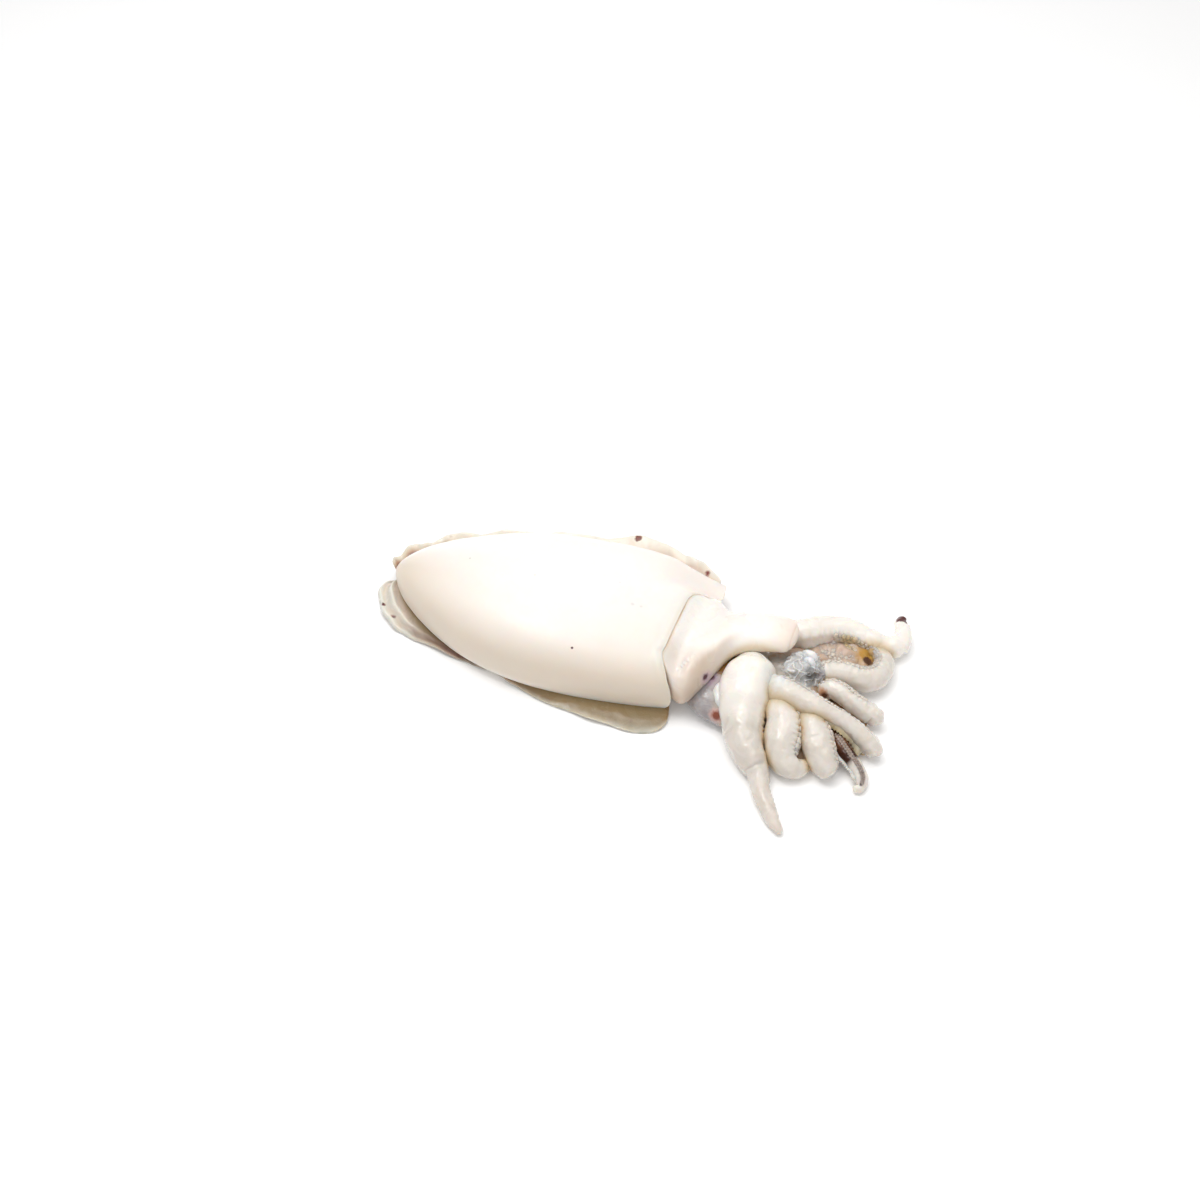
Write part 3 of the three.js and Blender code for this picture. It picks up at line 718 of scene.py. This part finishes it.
armUsual = {"rows": 2, "stain": 0.0, "folds": []}
armShapes = {
    "near": {
        "oralTurn": 200, "span": (0.42, 0.62), "pale": (0.8, 0.0), "warm": 0.2,
        "folds": [(0.3, 110, 0.02, 0.012), (0.645, 90, 0.14, 0.022), (0.575, 110, -0.06, 0.03)],
        "stations": [
            [75.5, 17, 13, 14, 14], [75, 2, 16.5, 16.2, 15.5], [75.6, -12, 15.5, 15.8, 14.3],
            [77.8, -22.5, 13, 13, 11.8], [81.5, -33.2, 11, 11.2, 10.6], [86, -42, 9.5, 9.8, 9.8],
            [91, -48, 8, 8.6, 8.6], [95, -52, 6.5, 7.2, 6.8], [98, -57, 5.5, 5.7, 5.6], [103, -67, 5, 5, 5],
            [111, -78, 4, 4.2, 4.2], [119, -86, 2.5, 2, 2]]},
    "frontInner": {
        "oralTurn": 166, "span": (0.16, 0.74), "pale": (0.3, 0.25), "warm": 0.2,
        "folds": [(0.62, 100, 0.03, 0.02)],
        "stations": [
            [93, 1, 13, 8], [97.4, -14, 15.3, 8.9], [101.6, -22, 14.3, 10], [103.5, -31, 12, 10.4],
            [105, -38.5, 10, 9.2], [109, -43.5, 8, 7.8], [114.5, -44, 6, 6.2], [118, -40.5, 5, 4.6],
            [118.5, -36.5, 4.5, 3.4]]},
    "frontOuter": {
        "oralTurn": 164, "span": (0.14, 0.95), "pale": (0.2, 0.15), "warm": 0.25,
        "folds": [(0.4, 80, 0.03, 0.02)],
        "stations": [
            [109, -4.5, 13, 7], [115.5, -16.5, 14.5, 8.2], [120.5, -24, 12.5, 9.2], [125, -31.5, 10.2, 9.2],
            [129, -37, 8.3, 8], [132.5, -40, 6.6, 6.4], [135, -41.5, 5.2, 4.6]]},
    "over": {
        "oralTurn": 130, "rows": 1, "span": (0.42, 0.62), "pale": (0.15, 0.2), "warm": 0.3,
        "stations": [
            [82, 3, 13, 7.5], [93, -4.4, 18.2, 9.8], [105.5, -7.8, 21, 8.5], [116, -10.5, 21.6, 6.6],
            [125.5, -11, 20, 5], [135, -12, 17, 5], [144.5, -14.3, 12, 5.6], [151, -17, 7.5, 5.8],
            [153, -21, 5, 4.5]]},
    "under": {
        "oralTurn": 92, "span": (0.1, 0.8), "pale": (0.1, 0.3), "stain": 1.0, "warm": 0.3,
        "stations": [
            [125, -13, 9, 4.6], [134, -21.5, 8, 4.8], [141, -27.5, 6.5, 4.5], [147, -32, 5, 4],
            [151, -37, 3.8, 3.4], [151.5, -42, 3, 2.6], [148, -44.5, 2.8, 2]]},
    "middle": {
        "oralTurn": 122, "span": (0.04, 0.62), "pale": (0.45, 0.3), "warm": 0.25,
        "folds": [(0.7, 90, 0.05, 0.02)],
        "stations": [
            [113, 7.5, 8, 5], [119, 10, 14.5, 5.8], [126, 9, 15, 6], [133.5, 6.5, 13, 6],
            [140.5, 5.5, 10, 6.2], [146.5, 4.5, 7.5, 6], [149.5, 0.5, 5.5, 4.5]]},
    "curl": {
        "oralTurn": 128, "span": (0.08, 0.9), "pale": (0.3, 0.25), "warm": 0.3,
        "folds": [(0.42, 40, 0.03, 0.02)],
        "stations": [
            [108, 18.5, 12, 7], [116.5, 24.5, 12, 7], [125.5, 26.5, 11, 7.2], [135, 27.5, 9.5, 7.5],
            [141.5, 34, 8, 7], [142.5, 44.5, 7.5, 6], [137.5, 51, 8, 5], [131, 52, 9, 4]]},
    "far": {
        "oralTurn": 6, "rows": 3, "span": (0.27, 0.56), "pale": (0.7, 0.85), "warm": 0.6,
        "folds": [(0.56, 90, 0.04, 0.02)],
        "stations": [
            [83, 43, 14, 9], [93.5, 45, 14, 9], [102, 51, 13.5, 8.8], [111.5, 56, 12.5, 8.5],
            [121.5, 58, 11, 8], [132, 57, 9, 7.2], [142, 57, 7.5, 6.8], [148, 64, 6.5, 6],
            [147, 74, 5.5, 4.8], [144, 80, 5, 3.6], [144.5, 85, 4.5, 2.6]]},
}
armShapes = {name: {**armUsual, **arm} for name, arm in armShapes.items()}
armSkin = {
    "rings": 190, "sides": 72, "lump": 0.026, "lumpSize": 11.0, "flat": 0.1, "flatWidth": 0.55,
    "ridge": 0.05, "ridgeAt": 0.5, "ridgeWidth": 0.24, "crimp": 0.04, "crimpLength": 3.6, "crimpSway": 2.0,
    "swayRate": 0.2, "knob": 0.17, "knobSize": 4.6, "wrinkle": 0.07, "wrinkleSize": 2.6, "patchSize": 16.0,
    "foldWidth": 0.9, "oralWidth": 0.5, "spanFade": 0.08, "stainWidth": 0.32, "shadedRoot": (0.46, 0.3),
    "paleFrom": (0.24, 0.4),
}
# the funnel's stations: x, y and z on its centre line, half its width and half its height
funnelShape = {
    "stations": [
        [8, 11, 17, 34, 15], [26, 11.5, 17, 37, 15.7], [38, 10.5, 17, 37.5, 16.5], [46, 8.8, 18.2, 33.8, 16],
        [53, 12.6, 21.2, 25.8, 13.9], [60, 20.5, 25.3, 17.5, 10.6], [68, 24.2, 27.9, 14.7, 8.1],
        [78, 26.5, 28.5, 13.2, 7], [87, 28, 28.5, 12, 6], [94, 28.3, 28, 11.5, 5]],
    "tongueFrom": 5, "blunt": 0.85, "spread": 1.6, "fullX": (52.0, 40.0), "square": 0.18, "hugReach": 13.0,
    "lipGap": 0.5, "grooveAt": 0.955, "groove": 0.045, "grooveWidth": 0.007, "tipFrom": (0.72, 0.95),
    "bulge": 0.35, "bulgeSize": 22.0, "dimple": 0.08, "dimpleSize": 6.0, "rings": 220, "sides": 160,
    "puckerFrom": (42.5, -8.0), "puckerTo": (36.5, -18.0), "puckerEnds": (-1.0, 2.0), "pucker": 1.2,
    "puckerLength": 2.4, "puckerWidth": 1.0, "flankShadeZ": (20.0, 5.0), "collarShadeX": (67.0, 48.0),
    "collarShadeOut": (-0.12, -0.64), "collarShadeLeast": 0.14,
    "paleX": (50.0, 37.0), "paleZ": (16.0, 26.0), "pale": 0.55, "lipShadeWidth": 1.3, "lipShadeZ": (16.0, 24.0),
}
# the head's lumps: each one's turn is about the vertical, in radians
lumpUsual = {"turn": 0.0, "billow": 0.0, "crumple": 0.0}
headLumps = {
    "middle": {"centre": (67, 1, 8), "halfSize": (34, 31, 12), "turn": -0.35, "rough": 0.6, "size": 14.0,
               "crumple": 0.25, "flesh": headFlesh},
    "roots": {"centre": (95, 12, 8), "halfSize": (24, 25, 11), "rough": 0.6, "size": 9.0, "billow": 0.4,
              "flesh": webFlesh},
    "beak": {"centre": (101, 16.3, 14.7), "halfSize": (12, 12.4, 10), "rough": 0.7, "size": 7.0,
             "crumple": 1.5, "flesh": beakFlesh},
    "frontWeb": {"centre": (117, -8, 4), "halfSize": (28, 29, 6), "rough": 0.6, "size": 6.0, "billow": 0.5,
                 "flesh": webFlesh},
    "farWeb": {"centre": (115, 42, 4), "halfSize": (24, 15, 7.5), "turn": 0.2, "rough": 0.5, "size": 5.0,
               "billow": 0.9, "flesh": webFlesh},
}
headLumps = {name: {**lumpUsual, **lump} for name, lump in headLumps.items()}
# lowShare sets how dark the painted shade between the crests is
lumpGrid = {
    "sides": 160, "rings": 110, "billowSize": 9.0, "billowLeast": 0.01, "warp": 2.2, "warpSize": 8.0,
    "crestSize": 6.0, "crestWidth": 0.55, "crestPower": 1.5, "lowShare": 0.7,
}
# the painted crease shade: how far it reaches from other limbs and from the floor, and how strong it is at
# the floor
creaseShade = {"reach": 2.8, "floorReach": 1.5, "floorShare": 0.4, "balls": 60, "ballSpan": (0.03, 0.97),
          "blocks": 12}


# balls strung along every limb, x, y, z and radius, by which the gaps between limbs are judged for the
# painted crease shade
def ballsOf(stations):
    return throughPoints(np.array(stations, float)[:, :4], np.linspace(*creaseShade["ballSpan"], creaseShade["balls"]))


limbBalls = {name: ballsOf(arm["stations"]) for name, arm in armShapes.items()}
# of the funnel its tongue alone, with half its height as the radius
tongue = funnelShape["stations"][funnelShape["tongueFrom"]:]
limbBalls["funnel"] = ballsOf([row[:3] + row[4:] for row in tongue])


# painted shade in the creases: how deep in a crease a point lies, by a bell of the gap to the nearest ball of
# another limb, or of its height off the floor
def creaseShadeMask(points, own):
    others = np.concatenate([balls for name, balls in limbBalls.items() if name != own])
    flat = points.reshape(-1, 3)
    gap = np.full(len(flat), np.inf)
    for block in np.array_split(others, creaseShade["blocks"]):
        away = np.linalg.norm(flat[:, None] - block[:, :3], axis=-1) - block[:, 3]
        gap = np.minimum(gap, away.min(1))
    low = creaseShade["floorShare"] * bell(flat[:, 2], creaseShade["floorReach"])
    return np.maximum(bell(np.maximum(gap, 0.0), creaseShade["reach"]), low).reshape(points.shape[:-1])


# The funnel

# puckers: short ridges across a line on the collar, crests of a wave along the line under a bell across it;
# the same values also paint a highlight on the crests
def collarPuckers(points):
    f = funnelShape
    start, end = np.array(f["puckerFrom"]), np.array(f["puckerTo"])
    run = np.linalg.norm(end - start)
    way = (end - start) / run
    place = points[..., :2] - start
    along, across = place @ way, place @ np.array([-way[1], way[0]])
    inRun = ramp(along, *f["puckerEnds"]) * ramp(run - along, *f["puckerEnds"])
    wave = np.maximum(np.sin(fullTurn * along / f["puckerLength"] + np.sin(along)), 0.0)
    return wave * bell(across, f["puckerWidth"]) * inRun


# x and z of the mantle's upper front edge at the given y, read between points along it
def lipAt(y, count=400):
    turn = np.linspace(math.pi, 0.0, count)
    edgeY, edgeZ = mantleSection(np.ones_like(turn), turn)
    return np.interp(y, edgeY, mantleFront(turn)), np.interp(y, edgeY, edgeZ)


# a flattened tongue on a wide collar: ellipses square to X, rounded off at both ends, squarer at the collar
# and raised to the mantle's edge there, with a groove that sets off the rim of its open tip
def makeFunnel():
    f = funnelShape
    t, turn = limbShares(f["rings"]), turnsRound(f["sides"])
    x, y, z, wide, high = np.moveaxis(throughPoints(f["stations"], t), -1, 0)
    cap = swell(limbWalk(f["stations"])[1][-1] * np.minimum(t, 1.0 - t) / (f["blunt"] * wide))
    groove = bell(t - f["grooveAt"], f["grooveWidth"])
    size = cap * (1.0 - f["groove"] * groove)
    full = ramp(x, *f["fullX"])
    out = signedPower(np.cos(turn), 1.0 - f["square"] * full)
    up = signedPower(np.sin(turn), 1.0 - f["square"] * full)
    wide = wide + f["spread"] * full
    rings = np.stack(np.broadcast_arrays(x, y + wide * size * out, z + high * size * up), -1)
    away = unit(rings - np.stack([x, y, z], -1))
    lipX, lipZ = lipAt(rings[..., 1])
    under = ramp(rings[..., 0] - lipX, f["hugReach"], 0.0) * onTop(up)
    rings[..., 2] += under * np.maximum(lipZ - f["lipGap"] - rings[..., 2], 0.0)
    relief = f["bulge"] * lumps(rings, f["bulgeSize"], seeds["funnelBulge"])
    relief = relief + f["dimple"] * lumps(rings, f["dimpleSize"], seeds["funnelDimple"])
    pucker = collarPuckers(rings) * onTop(up)
    rings = lying(rings + away * (relief + f["pucker"] * pucker)[..., None])
    ahead, height = rings[..., 0], rings[..., 2]
    # painted shade on the collar: strongest on its near side, and lifted high up at its back by the mantle's
    # lip
    shade = np.maximum(ramp(out, *f["collarShadeOut"]), f["collarShadeLeast"])
    shade = shade * (1.0 - f["pale"] * ramp(ahead, *f["paleX"]) * ramp(height, *f["paleZ"]))
    masks = {
        # flank: painted shade, darker towards the bottom
        "creaseShade": creaseShadeMask(rings, "funnel"), "rim": groove, "flank": ramp(height, *f["flankShadeZ"]),
        # collar: the painted shade above; pucker: a painted highlight on the puckers' crests
        "collar": ramp(x, *f["collarShadeX"]) * shade, "pucker": pucker, "tip": ramp(t, *f["tipFrom"]),
        # painted shade in a thin line under the mantle's lip
        "lipShade": bell(ahead - lipX, f["lipShadeWidth"]) * ramp(height, *f["lipShadeZ"]),
    }
    return skinMesh("funnel", rings, masks)


addPiece(makeFunnel(), funnelFlesh, "head")
print("funnel made")


# The head's lumps

# a lump: an ellipsoid turned about the vertical, roughened outwards, swollen into rounded lobes between sharp
# valleys by the size of a soft wave, raised into crumpled crests where a warped wave is near nought, and flat
# where it lies
def makeLump(name):
    g, shape = lumpGrid, headLumps[name]
    tilt = np.linspace(0.0, math.pi, g["rings"] + 2)[1:-1, None]
    turn = turnsRound(g["sides"])
    across = np.sin(tilt)
    ball = np.stack(np.broadcast_arrays(across * np.cos(turn), across * np.sin(turn), np.cos(tilt)), -1)
    size = np.array(shape["halfSize"], float)
    c, s = math.cos(shape["turn"]), math.sin(shape["turn"])
    heading = np.array([[c, s, 0.0], [-s, c, 0.0], [0.0, 0.0, 1.0]])
    points = (ball * size) @ heading + np.array(shape["centre"], float)
    away = unit((ball / size) @ heading)
    swollen = np.abs(lumps(points, g["billowSize"], seeds["lumpBillow"] + len(name)))
    warp = np.stack([lumps(points, g["warpSize"], seeds["lumpWarp"] + k) for k in range(3)], -1)
    wave = np.abs(lumps(points + g["warp"] * warp, g["crestSize"], seeds["lumpCrest"]))
    crest = np.clip(1.0 - wave / g["crestWidth"], 0.0, 1.0) ** g["crestPower"]
    relief = shape["rough"] * lumps(points, shape["size"], seeds["lumpRough"] + len(name))
    relief = relief + shape["billow"] * np.sqrt(swollen + g["billowLeast"])
    points = lying(points + away * (relief + shape["crumple"] * crest)[..., None])
    # painted shade away from the crests
    masks = {"creaseShade": creaseShadeMask(points, name), "valleyShade": g["lowShare"] * (1.0 - crest)}
    return skinMesh("head_" + name, points, masks)


for lumpName, lump in headLumps.items():
    addPiece(makeLump(lumpName), lump["flesh"], "head")

# soft lobes on the beak's mass, and the folded skin beside the nearest arm: x, y, z and radius along each
headFolds = {
    "lobe_top": {"flesh": beakFlesh,
                 "stations": [[98, 23.5, 21.4, 2], [103.5, 23, 23, 3.1], [108, 21.2, 20.8, 2.2]]},
    "lobe_next": {"flesh": beakFlesh,
                  "stations": [[100, 18.8, 22.6, 1.6], [104.6, 17.8, 23.2, 2.6], [108.4, 16.2, 20.8, 1.7]]},
    "lobe_ridge": {"flesh": beakFlesh,
                   "stations": [[93, 20.5, 19.4, 1.4], [97.5, 16, 22.2, 2], [102.5, 9, 19.4, 1.4]]},
    "fold": {"flesh": armFlesh,
             "stations": [[65, -8.5, 19.5, 1.4], [62, -11.5, 18.6, 2.6], [61.2, -15.5, 16.8, 3],
                          [63.2, -20, 15, 2.8], [67, -24.5, 13.6, 1.8]]},
}
foldSkin = {"bump": 0.1, "bumpSize": 6.0, "pale": 0.65, "valleyShade": (-0.5, 0.9), "rings": 70, "sides": 36}


# a lobe or fold: one short, uneven limb, with a mask of painted shade towards its lower half
def makeHeadFold(name):
    k, stations = foldSkin, headFolds[name]["stations"]
    t, turn = limbShares(k["rings"]), turnsRound(k["sides"])
    rings, away = limbPoints(stations, t, turn)
    radius = throughPoints(stations, t)[..., 3]
    bumps = k["bump"] * radius * lumps(rings, k["bumpSize"], seeds["fold"] + len(name))
    rings = rings + away * bumps[..., None]
    masks = {"pale": k["pale"], "valleyShade": ramp(-np.sin(turn), *k["valleyShade"])}
    return skinMesh("head_" + name, rings, masks)


for foldName, fold in headFolds.items():
    addPiece(makeHeadFold(foldName), fold["flesh"], "head")
print("head made")


# The arms

# how the arm's section differs from an ellipse: flatter on the suckers' side between two crimped ridges, and
# pinched where a fold crosses it
def armPlump(arm, t, turn):
    a = armSkin
    walk = np.interp(t, *limbWalk(arm["stations"]))
    side = np.abs(angleFrom(turn, math.radians(arm["oralTurn"])))
    sway = a["crimpSway"] * np.sin(a["swayRate"] * walk)
    crimp = 1.0 + a["crimp"] / a["ridge"] * np.sin(fullTurn * walk / a["crimpLength"] + sway)
    plump = 1.0 - a["flat"] * bell(side, a["flatWidth"])
    plump = plump + a["ridge"] * crimp * bell(side - a["ridgeAt"], a["ridgeWidth"])
    for place, towards, depth, length in arm["folds"]:
        along = bell(t - place + 0.5 * length * np.sin(turn), length)
        plump = plump - depth * along * bell(angleFrom(turn, math.radians(towards)), a["foldWidth"])
    return plump


# an arm: a limb with that section, soft lumps and fine wrinkles on it
def makeArm(name):
    a, arm = armSkin, armShapes[name]
    stations = arm["stations"]
    t, turn = limbShares(a["rings"]), turnsRound(a["sides"])
    rings, away = limbPoints(stations, t, turn, armPlump(arm, t, turn))
    radius = throughPoints(stations, t)[..., 3]
    relief = a["lump"] * radius * lumps(rings, a["lumpSize"], seeds["arm"] + len(name))
    relief = relief + a["knob"] * lumps(rings, a["knobSize"], seeds["armKnob"]) * ramp(t, *a["paleFrom"])
    wrinkled = smooth(0.5 + lumps(rings, a["patchSize"], seeds["armPatch"]))
    relief = relief + a["wrinkle"] * lumps(rings, a["wrinkleSize"], seeds["armWrinkle"]) * wrinkled
    rings = lying(rings + away * relief[..., None])
    side = np.abs(angleFrom(turn, math.radians(arm["oralTurn"])))
    start, end = arm["span"]
    carries = ramp(t, start - a["spanFade"], start) * ramp(t, end + a["spanFade"], end)
    atRoot, atTip = arm["pale"]
    # the strip of the arm's own stain, and painted shade on its root where it lies under the arm above it
    stainAndRootShade = np.maximum(bell(side, a["stainWidth"]) * carries, ramp(t, *a["shadedRoot"]))
    masks = {"creaseShade": creaseShadeMask(rings, name), "oral": bell(side, a["oralWidth"]) * carries,
             "pale": atRoot + (atTip - atRoot) * ramp(t, *a["paleFrom"]), "stain": arm["stain"] * stainAndRootShade}
    return skinMesh("arm_" + name, rings, masks)


# Suckers: the profile is given from the cup's middle to the foot, in shares of the sucker's radius. The patch
# is where suckers of the webs' own stand, as places across the far web.

suckerShape = {
    "profile": [[0.35, 0.56], [0.68, 0.52], [0.92, 0.28], [1.02, -0.1], [0.8, -0.5]],
    "cupZ": 0.5, "footZ": -0.6, "cupWidth": 0.4, "sides": 8, "share": 0.2, "least": 0.5, "most": 2.0,
    "pitch": 1.75, "rowPitch": 1.7, "stand": 0.04, "lowest": 2.0, "stainShare": 0.65,
    "uneven": 0.12, "sizeUneven": 0.24, "sideways": (0.37, 0.61, 0.7),
    "patch": {"lump": "farWeb", "centre": (115.0, 43.0), "halfSize": (12.0, 7.0), "pitch": 2.4, "radius": 1.4,
              "shift": 0.8, "rise": -0.3, "leastRise": 0.05, "warm": 0.9},
}


# places of one arm's suckers: rows side by side, with pitch radii from each to the next along a row, and
# every other row shifted by half of that
def armSuckers(arm):
    s, stations = suckerShape, arm["stations"]
    fine, walked = limbWalk(stations)
    limb = throughPoints(stations, fine)[:, 3]
    radius = np.clip(s["share"] * limb, s["least"], s["most"])
    count = np.concatenate([[0.0], (np.diff(walked) / (s["pitch"] * radius[1:])).cumsum()])
    row = np.arange(arm["rows"])[None]
    first, last = np.interp(arm["span"], fine, count)
    t = np.interp(np.arange(first, last)[:, None] + 0.5 * (row % 2), count, fine)
    size = np.interp(t, fine, radius)
    beside = (row - 0.5 * (arm["rows"] - 1)) * s["rowPitch"] * size
    turn = math.radians(arm["oralTurn"]) + beside / np.interp(t, fine, limb)
    points, away = limbPoints(stations, t, turn, armPlump(arm, t, turn))
    stain, warm = (np.full(size.size, arm[key]) for key in ("stain", "warm"))
    return points.reshape(-1, 3), away.reshape(-1, 3), size.reshape(-1), stain, warm


# places of the web's suckers: a staggered grid, shifted at random, laid on the top of its ellipsoid
def patchSuckers():
    patch = suckerShape["patch"]
    web = headLumps[patch["lump"]]
    across = [np.arange(-half, half, patch["pitch"]) for half in patch["halfSize"]]
    u, v = np.meshgrid(*across, indexing="ij")
    u = u + 0.5 * patch["pitch"] * (np.arange(v.shape[1]) % 2)
    place = np.stack([u.ravel(), v.ravel()], -1) + patch["centre"]
    place = place + patch["shift"] * np.random.default_rng(seeds["suckers"]).uniform(-1.0, 1.0, place.shape)
    c, s = math.cos(web["turn"]), math.sin(web["turn"])
    local = (place - web["centre"][:2]) @ np.array([[c, -s], [s, c]])
    size = np.array(web["halfSize"], float)
    rise = np.sqrt(np.maximum(1.0 - ((local / size[:2]) ** 2).sum(-1), patch["leastRise"]))
    points = np.column_stack([place, web["centre"][2] + size[2] * rise + patch["rise"]])
    slope = (local / size[:2] ** 2) @ np.array([[c, s], [-s, c]])
    away = unit(np.column_stack([slope, rise / size[2]]))
    stain, warm = np.zeros(len(points)), np.full(len(points), patch["warm"])
    return points, away, np.full(len(points), patch["radius"]), stain, warm


# suckers: small cups, the profile spun round the outward direction at each place
def makeSuckers():
    s = suckerShape
    sets = [armSuckers(arm) for arm in armShapes.values()] + [patchSuckers()]
    clear = np.concatenate([rows[0] for rows in sets])[:, 2] > s["lowest"]
    places, outward, sizes, stain, warm = (np.concatenate(rows)[clear] for rows in zip(*sets))
    draw = np.random.default_rng(seeds["suckers"])
    sizes = sizes * (1.0 + s["sizeUneven"] * draw.uniform(-1.0, 1.0, len(sizes)))
    outward = unit(outward + s["uneven"] * draw.normal(size=outward.shape))
    aside = unit(np.cross(outward, s["sideways"]))
    beside = np.cross(outward, aside)
    turn = turnsRound(s["sides"])[0]
    profile = np.array([[0.0, s["cupZ"]]] + [row for row in s["profile"] for _ in turn] + [[0.0, s["footZ"]]])
    turns = np.concatenate([[0.0], np.tile(turn, len(s["profile"])), [0.0]])
    flat = profile[:, 0] * sizes[:, None]
    rise = (profile[:, 1] + s["stand"]) * sizes[:, None]
    points = places[:, None] + (flat * np.cos(turns))[..., None] * aside[:, None]
    points = points + (flat * np.sin(turns))[..., None] * beside[:, None] + rise[..., None] * outward[:, None]
    skin = skinFaces(len(s["profile"]), s["sides"])
    quads, caps = (np.roll(rows[:, ::-1], 1, axis=1) for rows in skin)  # turned to point out
    shift = np.arange(len(places))[:, None, None] * len(profile)
    faces = (quads + shift).reshape(-1, 4).tolist() + (caps + shift).reshape(-1, 3).tolist()
    masks = {"cup": np.tile(bell(profile[:, 0], s["cupWidth"]), len(places)),
             "stain": np.repeat(s["stainShare"] * stain, len(profile)), "warm": np.repeat(warm, len(profile))}
    print("suckers:", len(places))
    return meshOf("suckers", points.reshape(-1, 3), faces, masks)


# Thin skin along the arms' edges: from and to are shares of the arm, turn the side it grows from in degrees

armFrills = {
    "over": {"turn": -28, "from": 0.3, "to": 0.97, "width": 3.2, "down": 0.6, "wave": 1.2, "waves": 3.5,
             "flesh": frillFlesh},
    "under": {"turn": 8, "from": 0.1, "to": 0.75, "width": 1.6, "down": 0.1, "wave": 0.6, "waves": 4.5,
              "flesh": armFlesh},
}
frillSkin = {"steps": 200, "around": 36, "rootInset": 2.0, "thick": 1.0, "crimp": 0.35, "crimps": 23,
             "crimpDrift": 17.0, "sway": 0.25, "swayRate": 9.0, "endRound": 0.15, "edgeFrom": 0.5}


# a frill: for each step along the arm a flat loop from inside its side out to a wavy free edge and back
def makeFrill(name):
    k, frill = frillSkin, armFrills[name]
    stations = armShapes[name]["stations"]
    share = np.linspace(0.0, 1.0, k["steps"])[:, None]
    t = frill["from"] + (frill["to"] - frill["from"]) * share
    base, away = limbPoints(stations, t, math.radians(frill["turn"]))
    outward = unit(away - np.array([0.0, 0.0, frill["down"]]))
    normal = unit(np.cross(limbTangent(stations, t), outward))
    out, face = sheetLoop(k["around"])
    ends = swell(share / k["endRound"]) * swell((1.0 - share) / k["endRound"])
    crimp = np.sin(fullTurn * k["crimps"] * share + np.sin(k["crimpDrift"] * share))
    sway = 1.0 + k["sway"] * np.sin(k["swayRate"] * share)
    width = (frill["width"] * sway + k["crimp"] * crimp) * ends
    reach = out * (k["rootInset"] + width) - k["rootInset"]
    wave = frill["wave"] * np.sin(fullTurn * frill["waves"] * share) * out ** 2
    wave = wave + 0.5 * face * k["thick"] * ends
    rings = lying(base + outward * reach[..., None] + normal * wave[..., None])
    return skinMesh("frill_" + name, rings, {"edge": ramp(out, k["edgeFrom"], 1.0)})


for armName in armShapes:
    addPiece(makeArm(armName), armFlesh, "head")
for frillName, frill in armFrills.items():
    addPiece(makeFrill(frillName), frill["flesh"], "head")
addPiece(makeSuckers(), suckerFlesh, "head")
print("arms made")


# The studio

studio = {
    "target": (-0.0305, 0.0415, 0.0), "azimuth": 20.0, "elevation": 48.0, "distance": 1.1, "lens": 55.0,
    "floorHalf": 3.0, "floorColour": (0.95, 0.95, 0.95, 1.0), "floorRoughness": 0.6,
    "floorGlow": 0.07, "world": 0.55, "worldColour": (1.0, 1.0, 1.0, 1.0),
    "lights": {
        "key": {"from": (-0.15, 0.22, 1.2), "size": 1.3, "power": 9.9, "colour": (1.0, 0.99, 0.98)},
        "fill": {"from": (0.6, -0.9, 0.7), "size": 0.8, "power": 1.5, "colour": (1.0, 0.99, 0.98)},
        "glint": {"from": (-0.3, 0.0, 1.0), "size": 0.32, "power": 1.4, "colour": (1.0, 1.0, 1.0)},
    },
}


# turned so that its own -Z looks at the target
def aim(thing, target):
    thing.rotation_euler = (Vector(target) - thing.location).to_track_quat("-Z", "Y").to_euler()


# a bright floor, three disc lights, an even world and the camera
def makeStudio():
    scene = bpy.context.scene
    half = studio["floorHalf"]
    floorMesh = bpy.data.meshes.new("floor")
    corners = [(-half, -half, 0), (half, -half, 0), (half, half, 0), (-half, half, 0)]
    floorMesh.from_pydata(corners, [], [(0, 1, 2, 3)])
    floor = bpy.data.objects.new("floor", floorMesh)
    scene.collection.objects.link(floor)
    material, _, shader = newMaterial("paleTable")
    setShader(shader, {"Base Color": studio["floorColour"], "Roughness": studio["floorRoughness"],
                       "Emission Color": studio["floorColour"], "Emission Strength": studio["floorGlow"]})
    floorMesh.materials.append(material)
    for name, light in studio["lights"].items():
        lamp = bpy.data.lights.new(name, "AREA")
        lamp.shape = "DISK"
        lamp.size = light["size"]
        lamp.energy = light["power"]
        lamp.color = light["colour"]
        holder = bpy.data.objects.new(name, lamp)
        holder.location = light["from"]
        aim(holder, (0.0, 0.0, 0.0))
        scene.collection.objects.link(holder)
    world = bpy.data.worlds.new("softRoom")
    world.use_nodes = True
    background = world.node_tree.nodes["Background"]
    setShader(background, {"Color": studio["worldColour"], "Strength": studio["world"]})
    scene.world = world
    scene.view_settings.view_transform = "Standard"
    camera = bpy.data.objects.new("camera", bpy.data.cameras.new("camera"))
    camera.data.lens = studio["lens"]
    a, e = math.radians(studio["azimuth"]), math.radians(studio["elevation"])
    back = Vector((math.sin(a) * math.cos(e), -math.cos(a) * math.cos(e), math.sin(e)))
    camera.location = Vector(studio["target"]) + back * studio["distance"]
    aim(camera, studio["target"])
    scene.collection.objects.link(camera)
    scene.camera = camera


makeStudio()
print("studio ready")
